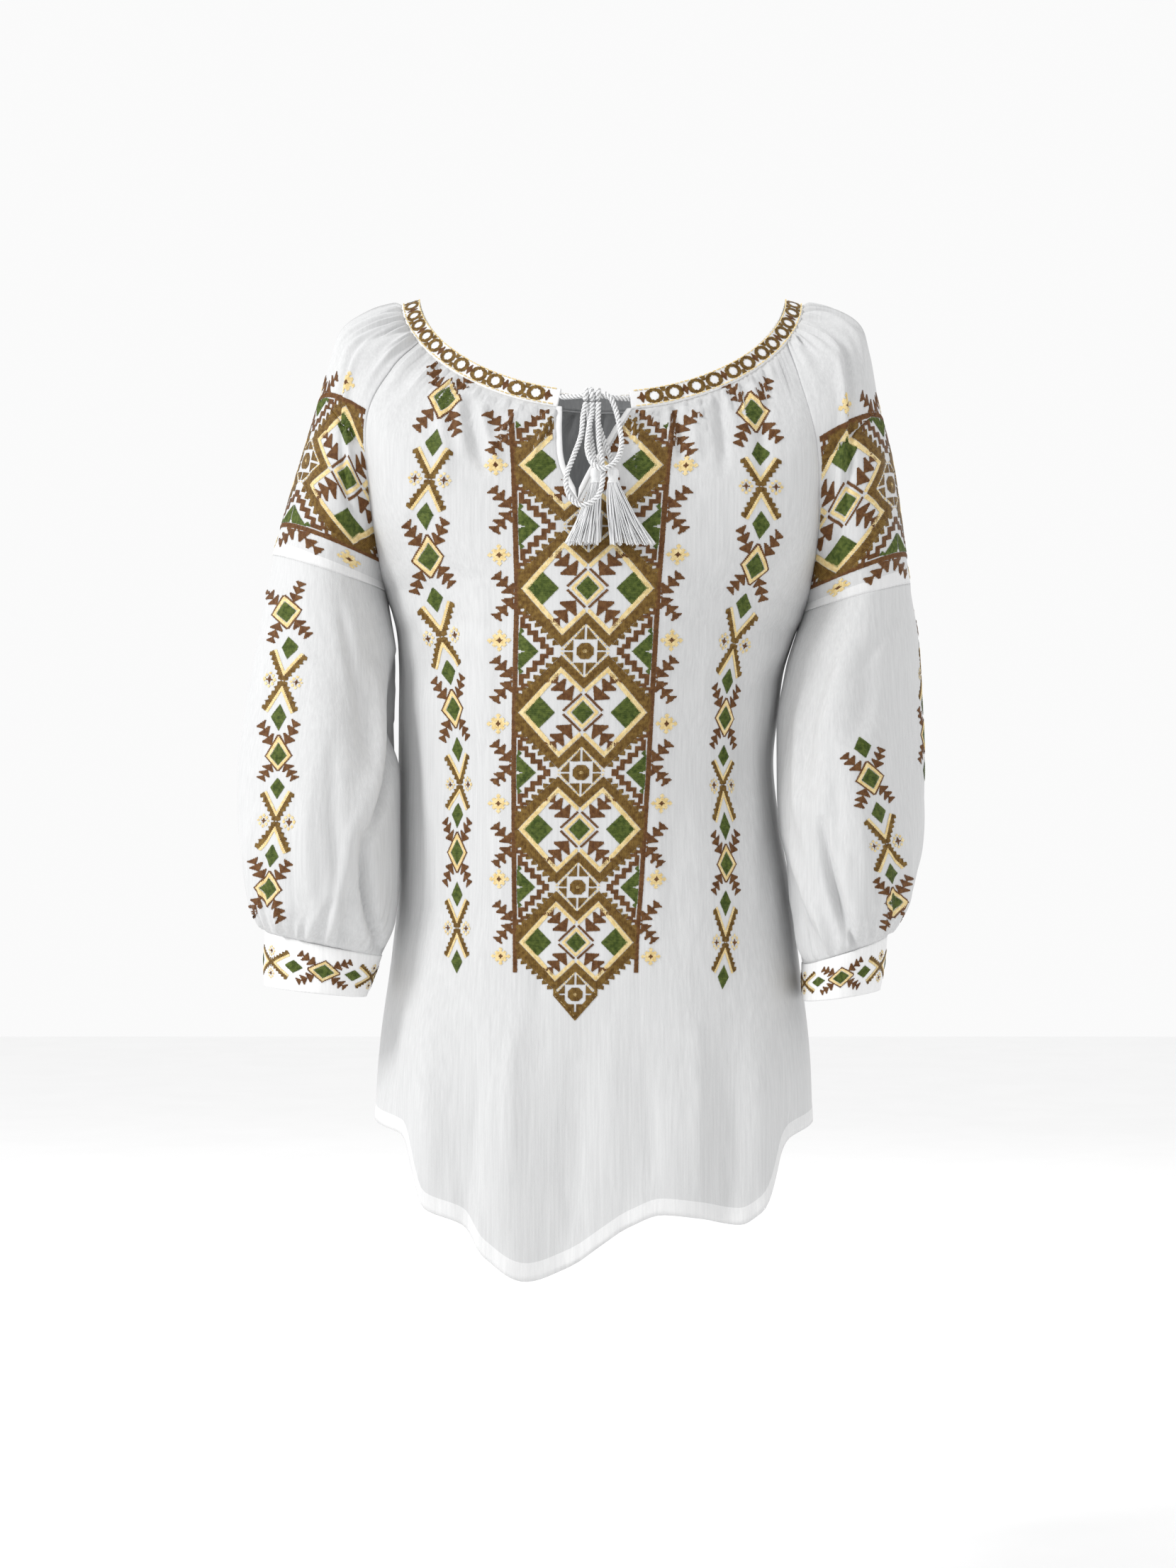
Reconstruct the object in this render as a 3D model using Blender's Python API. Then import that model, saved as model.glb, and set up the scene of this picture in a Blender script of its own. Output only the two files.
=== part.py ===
"""A folk blouse of white gauze cotton, filled out as when it is worn, with no wearer.

The cloth is a thin wall. Each cut piece is a sheet of cells between its own seams, and each seam's
points are shared by the pieces that meet there. A piece then draws back from them by half the gap.
Metres, +Z up, +X to the viewer's right, the front towards -Y. The origin is between the shoulder
peaks of the neckband, where a wearer's shoulders hold the blouse.
"""

import math

import bmesh
import bpy
import numpy as np

NAME = "folk_blouse"
LEFT, RIGHT = -1, 1
FRONT, BACK = -1, 1
SIDE_WORD = {LEFT: "left", RIGHT: "right"}

# Cloth
WALL = 0.0012
BAND_WALL = 0.0020
CUFF_WALL = 0.0018
SEAM_GAP = 0.0003
UNDERARM_SHIFT = 0.0009

# The neckband's top edge: an ellipse from the front, highest at the two shoulder peaks
NECK_HALF_WIDTH = 0.1465
NECK_DEPTH = {FRONT: 0.100, BACK: 0.085}
NECK_DROP = {FRONT: 0.085, BACK: 0.066}
NECK_DROP_POWER = 1.15
BAND_HEIGHT = 0.0143
SHOULDER_SLOPE = 0.30
CHEST_SLOPE = 0.25
RAGLAN_ANGLE = 24.0

# The front slit: its edges at the neckband, as angles round the neckline, and its lower end
SLIT_LEFT_ANGLE = 102.7
SLIT_RIGHT_ANGLE = 82.2
SLIT_END = -0.045
SLIT_ROWS = 6
BINDING_WIDTH = 0.0034

# How the slit narrows to its end, and the binding's share of the room between the slit's two edges
SLIT_CURVE = 0.9
BINDING_SHARE = 0.72
BINDING_END_SHARE = 0.45

# Where the neckline's own shape gives way to the cloth below, as shares of the way down
PANEL_NECK_FIT = 1 / 1.3
SLEEVE_NECK_FIT = 1 / 2.2
SLEEVE_SEAM_FIT = 0.2
HEM_REACH = -0.66
HEM_SQUARE = 2.7

# How far from a seam, across or around, relief has grown to its full height
PANEL_SEAM_CLEAR = 0.10
SLEEVE_SEAM_CLEAR = 0.12
INNER_SLEEVE_CLEAR = 0.25
FOLD_SHARPNESS = 1.6

# Rows and columns of cells
UPPER_ROWS = 12
GATHER_ROWS = 4
LOWER_ROWS = 12
SLEEVE_ROWS = 9
CUFF_GATHER_ROWS = 2
FRONT_HALF_COLUMNS = 16
BACK_COLUMNS = 20
SLEEVE_COLUMNS = 20

# Gathers: how many, how deep, how far they reach from their seam, and how soon they rise from it
FRONT_HALF_GATHERS = 8
BACK_GATHERS = 10
SHOULDER_GATHERS = 10
CUFF_GATHERS = 10
GATHER_DEPTH = 0.0026
GATHER_REACH = 0.075
GATHER_RISE = 0.014
CUFF_GATHER_DEPTH = 0.0036
CUFF_GATHER_REACH = 0.070
CUFF_GATHERS_START = 0.90

# The body's sections: half outlines by height, and how square each section is
TORSO_COLUMNS = "height left right side front back square"
TORSO = (
    (-0.780, -0.186, 0.171, 0.010, -0.122, 0.112, 2.7),
    (-0.660, -0.183, 0.169, 0.012, -0.121, 0.110, 2.7),
    (-0.600, -0.179, 0.166, 0.016, -0.120, 0.108, 2.6),
    (-0.520, -0.1690, 0.157, 0.024, -0.118, 0.104, 2.5),
    (-0.480, -0.1655, 0.1530, 0.028, -0.117, 0.102, 2.4),
    (-0.420, -0.1650, 0.1430, 0.030, -0.117, 0.100, 2.3),
    (-0.370, -0.1648, 0.1380, 0.030, -0.119, 0.101, 2.2),
    (-0.330, -0.1645, 0.1420, 0.028, -0.122, 0.104, 2.2),
    (-0.300, -0.1640, 0.1455, 0.023, -0.125, 0.106, 2.1),
    (-0.280, -0.1642, 0.1500, 0.016, -0.126, 0.107, 2.1),
    (-0.265, -0.1655, 0.1545, 0.009, -0.126, 0.108, 2.0),
    (-0.2508, -0.1685, 0.1613, 0.000, -0.126, 0.108, 2.0),
    (-0.2337, -0.1739, 0.1640, 0.000, -0.126, 0.108, 2.0),
    (-0.180, -0.1760, 0.1680, 0.000, -0.121, 0.107, 2.0),
    (-0.130, -0.1760, 0.1680, 0.000, -0.113, 0.101, 2.0),
    (-0.099, -0.1760, 0.1680, 0.000, -0.1036, 0.0945, 2.0),
    (-0.080, -0.1760, 0.1680, 0.000, -0.1000, 0.0885, 2.0),
)
UNDERARM_HEIGHT = {LEFT: -0.2337, RIGHT: -0.2508}

# The hem's height by its place across. Columns: across, height
HEM = {
    FRONT: (
        (-0.186, -0.654),
        (-0.160, -0.661),
        (-0.146, -0.686),
        (-0.134, -0.716),
        (-0.108, -0.728),
        (-0.0895, -0.752),
        (-0.0577, -0.7695),
        (-0.030, -0.761),
        (0.0196, -0.728),
        (0.0446, -0.7185),
        (0.074, -0.722),
        (0.1037, -0.728),
        (0.119, -0.719),
        (0.133, -0.690),
        (0.150, -0.664),
        (0.171, -0.656),
    ),
    BACK: (
        (-0.186, -0.654),
        (-0.150, -0.668),
        (-0.110, -0.702),
        (-0.060, -0.731),
        (0.000, -0.739),
        (0.050, -0.731),
        (0.100, -0.702),
        (0.140, -0.668),
        (0.171, -0.656),
    ),
}

# The raglan seams, by the places that each passes between the neckband and the underarm
RAGLAN = {
    (FRONT, LEFT): (
        (-0.165, -0.066, -0.062),
        (-0.184, -0.078, -0.102),
        (-0.182, -0.066, -0.165),
        (-0.177, -0.032, -0.212),
    ),
    (FRONT, RIGHT): (
        (0.154, -0.066, -0.070),
        (0.166, -0.078, -0.119),
        (0.169, -0.064, -0.180),
        (0.165, -0.032, -0.229),
    ),
    (BACK, LEFT): (
        (-0.164, 0.060, -0.055),
        (-0.180, 0.074, -0.105),
        (-0.180, 0.062, -0.165),
        (-0.177, 0.031, -0.212),
    ),
    (BACK, RIGHT): (
        (0.154, 0.060, -0.062),
        (0.166, 0.074, -0.119),
        (0.169, 0.060, -0.180),
        (0.165, 0.031, -0.229),
    ),
}

# The line over the shoulder and down the outside of each upper sleeve
SHOULDER_LINE = {
    LEFT: (
        (-0.186, 0.000, -0.011),
        (-0.2085, 0.000, -0.024),
        (-0.2180, 0.000, -0.047),
        (-0.2265, 0.000, -0.080),
        (-0.2390, 0.000, -0.122),
        (-0.2525, 0.000, -0.166),
        (-0.2640, 0.000, -0.205),
    ),
    RIGHT: (
        (0.186, 0.000, -0.008),
        (0.2065, 0.000, -0.020),
        (0.2145, 0.000, -0.045),
        (0.2215, 0.000, -0.085),
        (0.2320, 0.000, -0.130),
        (0.2395, 0.000, -0.180),
        (0.2460, 0.000, -0.228),
    ),
}
UPPER_SLEEVE_DEPTH = ((0.0, 0.030), (0.3, 0.060), (0.5, 0.076), (0.7, 0.081), (0.85, 0.079), (1.0, 0.075))

# The lower sleeves' sections, from below the joining seam to the cuff
# Columns: down, x, y, z, half_width, half_depth, tilt, yaw
LOWER_SLEEVE = {
    LEFT: (
        (0.18, -0.2196, -0.011, -0.275, 0.0553, 0.074, 13, -12),
        (0.37, -0.2224, -0.022, -0.330, 0.0588, 0.072, 8, -20),
        (0.56, -0.2240, -0.032, -0.385, 0.0622, 0.070, 6, -20),
        (0.75, -0.2235, -0.042, -0.440, 0.0628, 0.066, 8, -18),
        (0.90, -0.2215, -0.050, -0.486, 0.0580, 0.056, 10, -10),
        (1.00, -0.2200, -0.054, -0.513, 0.0460, 0.036, 12, 0),
    ),
    RIGHT: (
        (0.18, 0.1995, -0.011, -0.288, 0.0535, 0.074, 12, -12),
        (0.37, 0.1957, -0.022, -0.338, 0.0556, 0.072, 8, -20),
        (0.56, 0.1955, -0.032, -0.390, 0.0555, 0.070, 6, -20),
        (0.75, 0.1970, -0.042, -0.443, 0.0530, 0.066, 8, -18),
        (0.90, 0.1965, -0.050, -0.488, 0.0455, 0.058, 14, -10),
        (1.00, 0.1905, -0.054, -0.518, 0.0345, 0.0455, 19, 0),
    ),
}
CUFF_END = {
    LEFT: (1.00, -0.2255, -0.057, -0.5505, 0.0395, 0.034, 6, 0),
    RIGHT: (1.00, 0.1870, -0.057, -0.5535, 0.0300, 0.0435, 9, 0),
}

# The largest folds of the body: face, place across at the top and at the hem, the heights between
# which each grows, its half width, and how far it stands out (or in, where it is below zero)
# Columns: top_across, hem_across, top_height, full_height, half_width, depth
FOLDS = {
    FRONT: (
        (-0.136, -0.136, -0.44, -0.66, 0.017, 0.0060),
        (-0.157, -0.158, -0.48, -0.66, 0.014, -0.0045),
        (0.122, 0.121, -0.44, -0.66, 0.017, 0.0055),
        (0.143, 0.144, -0.48, -0.66, 0.014, -0.0045),
        (-0.072, -0.076, -0.52, -0.66, 0.026, 0.0040),
        (-0.106, -0.108, -0.56, -0.68, 0.018, -0.0035),
        (-0.024, -0.030, -0.54, -0.70, 0.024, -0.0040),
        (0.056, 0.060, -0.48, -0.68, 0.026, 0.0040),
        (0.088, 0.092, -0.56, -0.68, 0.018, -0.0035),
    ),
    BACK: (
        (-0.130, -0.132, -0.42, -0.66, 0.020, 0.0060),
        (0.118, 0.120, -0.42, -0.66, 0.020, 0.0060),
        (-0.050, -0.060, -0.46, -0.68, 0.030, 0.0045),
        (-0.095, -0.098, -0.50, -0.68, 0.022, -0.0040),
        (0.030, 0.040, -0.46, -0.68, 0.030, 0.0045),
        (0.080, 0.084, -0.50, -0.68, 0.022, -0.0040),
    ),
}

# The folds of each lower sleeve: place around (-1 and 1 at the underarm line, -0.5 at the front),
# where down the sleeve each is deepest, its half width around, its half length, and its depth
# Columns: around, down, half_width, half_length, depth
SLEEVE_FOLDS = (
    (-0.66, 0.30, 0.16, 0.34, -0.0060),
    (-0.42, 0.55, 0.18, 0.40, 0.0040),
    (-0.15, 0.60, 0.16, 0.38, -0.0040),
    (0.15, 0.50, 0.18, 0.40, 0.0035),
    (0.45, 0.60, 0.16, 0.36, -0.0050),
    (0.72, 0.45, 0.16, 0.36, 0.0035),
)

# The drawstring: its thickness, its knot, and the routes of its loops and tails
CORD_DIAMETER = 0.0044
CORD_STEP = 2.4
KNOT_CENTRE = (-0.0085, -0.1140, -0.0885)
KNOT_HALF_WIDTH = 0.0085
KNOT_HALF_DEPTH = 0.0062
KNOT_HALF_HEIGHT = 0.0058
KNOT_SIDES = 16
KNOT_PROFILE = ((1.0, 0.80), (0.62, 1.0), (-0.62, 1.0), (-1.0, 0.80))
CORD_AT_BAND = 0.45
CORD_BEHIND_KNOT = (0.0, 0.0015, 0.0)
CORD_SAG = (0.0, -0.0012, -0.0004)
CORD_END_ROOM = (0.00072, 0.0, 0.0)
CORD_ROUTES = {
    "bow_loop_left": (
        (-0.0135, -0.1168, -0.0951),
        (-0.0155, -0.1195, -0.1060),
        (-0.0170, -0.1270, -0.1215),
        (-0.0228, -0.1370, -0.1385),
        (-0.0281, -0.1440, -0.1545),
        (-0.0262, -0.1475, -0.1690),
        (-0.0168, -0.1485, -0.1766),
        (-0.0052, -0.1480, -0.1710),
        (-0.0008, -0.1465, -0.1588),
        (-0.0008, -0.1415, -0.1445),
        (-0.0032, -0.1320, -0.1280),
        (-0.0040, -0.1220, -0.1110),
        (-0.0036, -0.1168, -0.0951),
    ),
    "bow_loop_right": (
        (0.0010, -0.1192, -0.0880),
        (0.0062, -0.1208, -0.0930),
        (0.0100, -0.1220, -0.1030),
        (0.0128, -0.1270, -0.1165),
        (0.0139, -0.1340, -0.1300),
        (0.0096, -0.1430, -0.1425),
        (0.0009, -0.1492, -0.1489),
        (-0.0075, -0.1480, -0.1457),
        (-0.0122, -0.1400, -0.1335),
        (-0.0110, -0.1275, -0.1165),
        (-0.0088, -0.1180, -0.1035),
        (-0.0086, -0.1168, -0.0951),
    ),
    "tail_left": (
        (-0.0110, -0.1112, -0.0951),
        (-0.0108, -0.1128, -0.1060),
        (-0.0098, -0.1180, -0.1200),
        (-0.0075, -0.1255, -0.1350),
        (-0.0058, -0.1310, -0.1458),
    ),
    "tail_right": (
        (-0.0060, -0.1112, -0.0951),
        (-0.0050, -0.1128, -0.1060),
        (-0.0010, -0.1170, -0.1200),
        (0.0045, -0.1245, -0.1350),
        (0.0074, -0.1310, -0.1458),
    ),
}

# The tassels: where each head's top is, and how far its skirt spreads to each side
TASSEL_TOP = {LEFT: (-0.0058, -0.1330, -0.1463), RIGHT: (0.0075, -0.1330, -0.1463)}
TASSEL_SPREAD = {LEFT: (-0.0290, -0.0030), RIGHT: (0.0042, 0.0385)}
TASSEL_PROFILE = ((0.0022, 0.0), (0.0042, 0.0022), (0.0044, 0.0056), (0.0034, 0.0088), (0.0046, 0.0120))
TASSEL_LENGTH = 0.060
TASSEL_SECTORS = 8
TASSEL_RINGS = 3
STRAND_INSET = 0.00022
STRAND_STEPS = ((0.0, 0.45), (0.45, 1.0))
STRAND_SPREAD = 0.3

COLOURS = {
    "gauze": (0.80, 0.81, 0.82),
    "band": (0.62, 0.47, 0.24),
    "cuff": (0.66, 0.52, 0.30),
    "binding": (0.86, 0.86, 0.86),
    "cord": (0.88, 0.88, 0.87),
    "tassel": (0.87, 0.87, 0.86),
}


def smooth(value):
    """Rises gently from 0 to 1 as value does."""
    part = np.clip(value, 0.0, 1.0)
    return part * part * (3.0 - 2.0 * part)


def read(rows, column, at):
    """A table's column at places along its first column, on a curve that never overshoots."""
    data = np.array(sorted(rows), dtype=float)
    places = data[:, 0]
    values = data[:, column]
    steps = np.diff(places)
    rises = np.diff(values) / steps
    slopes = np.empty(len(places))
    slopes[0] = rises[0]
    slopes[-1] = rises[-1]
    for i in range(1, len(places) - 1):
        product = rises[i - 1] * rises[i]
        slopes[i] = 0.0 if product <= 0.0 else 2.0 * product / (rises[i - 1] + rises[i])
    spot = np.clip(np.asarray(at, dtype=float), places[0], places[-1])
    i = np.clip(np.searchsorted(places, spot) - 1, 0, len(places) - 2)
    step = steps[i]
    t = (spot - places[i]) / step
    start = values[i] * (1 + 2 * t) * (1 - t) ** 2 + step * slopes[i] * t * (1 - t) ** 2
    end = values[i + 1] * t * t * (3 - 2 * t) + step * slopes[i + 1] * t * t * (t - 1)
    return start + end


def torso(name, height):
    """One measure of the body's section at a height."""
    return read(TORSO, TORSO_COLUMNS.split().index(name), height)


def unit(vectors):
    """The vectors at length 1."""
    return vectors / np.maximum(np.linalg.norm(vectors, axis=-1, keepdims=True), 1e-12)


def points_of(x, y, z):
    """An array of points from three arrays."""
    return np.stack(np.broadcast_arrays(x, y, z), axis=-1).astype(float)


class Route:
    """A smooth curve through places, read by the share of its length."""

    def __init__(self, places, samples=24):
        places = np.array(places, dtype=float)
        before = 2 * places[0] - places[1]
        after = 2 * places[-1] - places[-2]
        knots = np.vstack([before, places, after])
        dense = []
        for i in range(1, len(knots) - 2):
            a, b, c, d = knots[i - 1 : i + 3]
            square = 2 * a - 5 * b + 4 * c - d
            cube = 3 * b - a - 3 * c + d
            for t in np.linspace(0, 1, samples, endpoint=False):
                dense.append(0.5 * (2 * b + (c - a) * t + square * t**2 + cube * t**3))
        dense.append(knots[-2])
        self.points = np.array(dense)
        lengths = np.linalg.norm(np.diff(self.points, axis=0), axis=1)
        self.along = np.concatenate([[0.0], np.cumsum(lengths)])
        self.length = self.along[-1]

    def at(self, share):
        reach = np.clip(np.asarray(share, dtype=float), 0, 1) * self.length
        return np.stack([np.interp(reach, self.along, self.points[:, k]) for k in range(3)], axis=-1)


def neckline(angle, below=0.0):
    """A point of the neckline, below the band's top edge by a share of the band's height.

    Angle 0 is the right shoulder peak, 90 the middle of the front and 270 the middle of the back.
    """
    turn = np.radians(np.asarray(angle, dtype=float))
    across = np.cos(turn)
    forward = np.sin(turn)
    size = np.abs(forward)
    front = forward >= 0
    depth = np.where(front, -NECK_DEPTH[FRONT], NECK_DEPTH[BACK])
    drop = np.where(front, NECK_DROP[FRONT], NECK_DROP[BACK])
    top = points_of(NECK_HALF_WIDTH * across, depth * size, -drop * size**NECK_DROP_POWER)
    lean = np.where(front, -CHEST_SLOPE, CHEST_SLOPE)
    down = points_of(across, lean * size, -SHOULDER_SLOPE * np.abs(across) - size)
    return top + below * BAND_HEIGHT * unit(down)


def panel_angle(face, across):
    """The place round the neckline of a panel's top edge."""
    span = 90.0 - RAGLAN_ANGLE
    return 90.0 - span * across if face == FRONT else 270.0 + span * across


def sleeve_angle(side, around):
    """The place round the neckline of an upper sleeve's top edge, front to back."""
    return -RAGLAN_ANGLE * around if side == RIGHT else 180.0 + RAGLAN_ANGLE * around


def underarm(side):
    """The point where both panels and both sleeve pieces meet."""
    height = UNDERARM_HEIGHT[side]
    return np.array([torso("left" if side == LEFT else "right", height), torso("side", height), height])


def raglan_route(face, side):
    """A raglan seam, from the neckband to the underarm."""
    start = neckline(panel_angle(face, float(side)), 1.0)
    return Route([start, *RAGLAN[face, side], underarm(side)])


def shoulder_route(side):
    """The top line of an upper sleeve."""
    return Route([neckline(sleeve_angle(side, 0.0), 1.0), *SHOULDER_LINE[side]])


RAGLAN_ROUTES = {(face, side): raglan_route(face, side) for face in (FRONT, BACK) for side in (LEFT, RIGHT)}
SHOULDER_ROUTES = {side: shoulder_route(side) for side in (LEFT, RIGHT)}


def arch(across, square):
    """How far sideways and how far out a section's point is, across from -1 to 1."""
    turn = across * math.pi / 2
    power = 2.0 / square
    sideways = np.sign(np.sin(turn)) * np.abs(np.sin(turn)) ** power
    outwards = np.abs(np.cos(turn)) ** power
    return sideways, outwards


def panel_base(face, across, down):
    """A point of the front or back panel: down is 0 at the neck, 1 at the underarm, 2 at the hem."""
    across, down = np.broadcast_arrays(np.asarray(across, dtype=float), np.asarray(down, dtype=float))
    depth_name = "front" if face == FRONT else "back"
    upper = np.clip(down, 0, 1)
    left = RAGLAN_ROUTES[face, LEFT].at(upper)
    right = RAGLAN_ROUTES[face, RIGHT].at(upper)
    middle = (left + right) / 2
    half = (right - left) / 2
    neck_middle = neckline(panel_angle(face, 0.0), 1.0)[2]
    underarm_middle = (UNDERARM_HEIGHT[LEFT] + UNDERARM_HEIGHT[RIGHT]) / 2
    centre_height = neck_middle + (underarm_middle - neck_middle) * upper
    sideways, outwards = arch(across, 2.0)
    centre = points_of(middle[..., 0], torso(depth_name, centre_height), centre_height)
    high = middle + half * sideways[..., None] + (centre - middle) * outwards[..., None]
    to_neck = neckline(panel_angle(face, across), 1.0) - panel_arch_top(face, across)
    high = high + to_neck * (1 - smooth(upper / PANEL_NECK_FIT))[..., None]

    lower = np.clip(down - 1, 0, 1)
    start_height = (1 - across) / 2 * UNDERARM_HEIGHT[LEFT] + (1 + across) / 2 * UNDERARM_HEIGHT[RIGHT]
    hem_left = torso("left", HEM_REACH)
    hem_right = torso("right", HEM_REACH)
    hem_sideways, _ = arch(across, HEM_SQUARE)
    hem_x = (hem_left + hem_right) / 2 + (hem_right - hem_left) / 2 * hem_sideways
    hem_height = read(HEM[face], 1, hem_x)
    height = start_height + (hem_height - start_height) * lower
    sideways, outwards = arch(across, torso("square", height))
    x = (torso("left", height) + torso("right", height)) / 2
    x = x + (torso("right", height) - torso("left", height)) / 2 * sideways
    side_y = torso("side", height)
    y = side_y + (torso(depth_name, height) - side_y) * outwards
    low = points_of(x, y, height)
    return np.where((down > 1)[..., None], low, high)


def panel_arch_top(face, across):
    """The plain arch between the tops of a panel's two raglan seams."""
    left = RAGLAN_ROUTES[face, LEFT].at(0.0)
    right = RAGLAN_ROUTES[face, RIGHT].at(0.0)
    middle = (left + right) / 2
    half = (right - left) / 2
    neck = neckline(panel_angle(face, 0.0), 1.0)
    centre = np.array([middle[0], torso("front" if face == FRONT else "back", neck[2]), neck[2]])
    sideways, outwards = arch(across, 2.0)
    return middle + half * sideways[..., None] + (centre - middle) * outwards[..., None]


def normals_of(place, u, v, sign):
    """The outward normals of a surface given by place(u, v)."""
    step = 1e-3
    du = place(np.clip(u + step, -1, 1), v) - place(np.clip(u - step, -1, 1), v)
    dv = place(u, np.maximum(v + step, 0)) - place(u, np.maximum(v - step, 0))
    return unit(np.cross(du, dv)) * sign


def gathers(along, distance, count, depth, reach):
    """Ridges that rise from a gathered seam, uneven in depth and length; along runs 0 to 1."""
    place = np.clip(along * count, 0, count - 1e-9)
    which = np.floor(place)
    strength = 0.68 + 0.32 * np.sin(2.4 * which + 1.1)
    length = reach * (0.75 + 0.35 * np.sin(1.7 * which + 0.4))
    ridge = 0.5 - 0.5 * np.cos(2 * math.pi * place)
    rise = smooth(distance / GATHER_RISE)
    fall = 1 - smooth((distance - GATHER_RISE) / length)
    return depth * strength * ridge * rise * fall


def fold_relief(face, points):
    """How far the body's largest folds move its points out."""
    across = points[..., 0]
    height = points[..., 2]
    relief = np.zeros(across.shape)
    for top_across, hem_across, top_height, full_height, half_width, depth in FOLDS[face]:
        grown = smooth((top_height - height) / (top_height - full_height))
        line = top_across + (hem_across - top_across) * grown
        relief += depth * grown * np.exp(-(((across - line) / half_width) ** 2) * FOLD_SHARPNESS)
    return relief


def panel_place(face, across, down):
    """A point of a panel with its gathers and folds."""
    across, down = np.broadcast_arrays(np.asarray(across, dtype=float), np.asarray(down, dtype=float))
    base = panel_base(face, across, down)
    count = 2 * FRONT_HALF_GATHERS if face == FRONT else BACK_GATHERS
    edge = neckline(panel_angle(face, across), 1.0)
    distance = np.linalg.norm(base - edge, axis=-1) * (down > 0)
    clear_of_seam = smooth((1 - np.abs(across)) / PANEL_SEAM_CLEAR)
    relief = gathers((across + 1) / 2, distance, count, GATHER_DEPTH, GATHER_REACH) * clear_of_seam
    relief = relief + fold_relief(face, base) * clear_of_seam
    sign = 1.0 if face == FRONT else -1.0
    return base + normals_of(lambda u, v: panel_base(face, u, v), across, down, -sign) * relief[..., None]


def upper_sleeve_base(side, around, down):
    """A point of an upper sleeve: around is -1 at the front seam, 0 on top and 1 at the back seam."""
    around, down = np.broadcast_arrays(np.asarray(around, dtype=float), np.asarray(down, dtype=float))
    front = RAGLAN_ROUTES[FRONT, side].at(down)
    back = RAGLAN_ROUTES[BACK, side].at(down)
    top = SHOULDER_ROUTES[side].at(down)
    middle = (front + back) / 2
    span = np.linalg.norm(top - middle, axis=-1)
    out = unit(top - middle)
    seam_half = np.linalg.norm(back - front, axis=-1) / 2
    half_depth = np.maximum(seam_half, read(UPPER_SLEEVE_DEPTH, 1, down))
    reach = math.pi - np.arcsin(np.clip(seam_half / half_depth, 0, 1))
    radius = span / (1 - np.cos(reach))

    def ring(share):
        turn = share * reach
        inwards = radius * (1 - np.cos(turn))
        sideways = points_of(0 * turn, half_depth * np.sin(turn), 0 * turn)
        return top - out * inwards[..., None] + sideways

    point = ring(around)
    front_error = front - ring(np.full(around.shape, -1.0))
    back_error = back - ring(np.full(around.shape, 1.0))
    point = point + front_error * (np.maximum(-around, 0) ** 3)[..., None]
    point = point + back_error * (np.maximum(around, 0) ** 3)[..., None]
    return point


def upper_sleeve_place(side, around, down):
    """A point of an upper sleeve, fitted to the neckband and gathered there."""
    around, down = np.broadcast_arrays(np.asarray(around, dtype=float), np.asarray(down, dtype=float))

    def fitted(u, v):
        top = upper_sleeve_base(side, u, np.zeros(u.shape))
        neck = neckline(sleeve_angle(side, u), 1.0)
        return upper_sleeve_base(side, u, v) + (neck - top) * (1 - smooth(v / SLEEVE_NECK_FIT))[..., None]

    point = fitted(around, down)
    distance = down * SHOULDER_ROUTES[side].length
    clear_of_seam = smooth((1 - np.abs(around)) / SLEEVE_SEAM_CLEAR)
    relief = gathers((around + 1) / 2, distance, SHOULDER_GATHERS, GATHER_DEPTH, GATHER_REACH)
    normal = normals_of(fitted, around, np.clip(down, 1e-3, 1 - 1e-3), float(side))
    return point + normal * (relief * clear_of_seam)[..., None]


def sleeve_section(side, down):
    """The middle, half sizes and turns of a lower sleeve's section, down from 0 to 1."""
    top = SHOULDER_ROUTES[side].at(1.0)
    inner = underarm(side)
    middle = (top + inner) / 2
    tilt = math.degrees(math.atan2(top[2] - inner[2], abs(top[0] - inner[0])))
    half_width = float(np.linalg.norm(top - inner)) / 2
    first = (0.0, middle[0], middle[1], middle[2], half_width, UPPER_SLEEVE_DEPTH[-1][1], tilt, 0.0)
    rows = (first, *LOWER_SLEEVE[side])
    return [read(rows, column, down) for column in range(1, 8)]


def ring_point(side, around, section):
    """A point round a sleeve's section: 0 is its outside, -0.5 its front and 1 the underarm line."""
    x, y, z, half_width, half_depth, tilt, yaw = section
    tilt = np.radians(tilt)
    yaw = np.radians(yaw)
    turn = around * math.pi
    outwards = half_width * np.cos(turn)
    backwards = half_depth * np.sin(turn)
    level = outwards * np.cos(tilt) * np.cos(yaw) - backwards * np.sin(yaw)
    depth = outwards * np.cos(tilt) * np.sin(yaw) + backwards * np.cos(yaw)
    rise = outwards * np.sin(tilt)
    return points_of(x + side * level, y + depth, z + rise)


def lower_sleeve_base(side, around, down):
    """A point of a plain lower sleeve, which starts on the last ring of the upper one."""
    around, down = np.broadcast_arrays(np.asarray(around, dtype=float), np.asarray(down, dtype=float))
    point = ring_point(side, around, sleeve_section(side, down))
    seam = upper_sleeve_base(side, around, np.ones(around.shape))
    plain = ring_point(side, around, sleeve_section(side, np.zeros(around.shape)))
    return point + (seam - plain) * (1 - smooth(down / SLEEVE_SEAM_FIT))[..., None]


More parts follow.
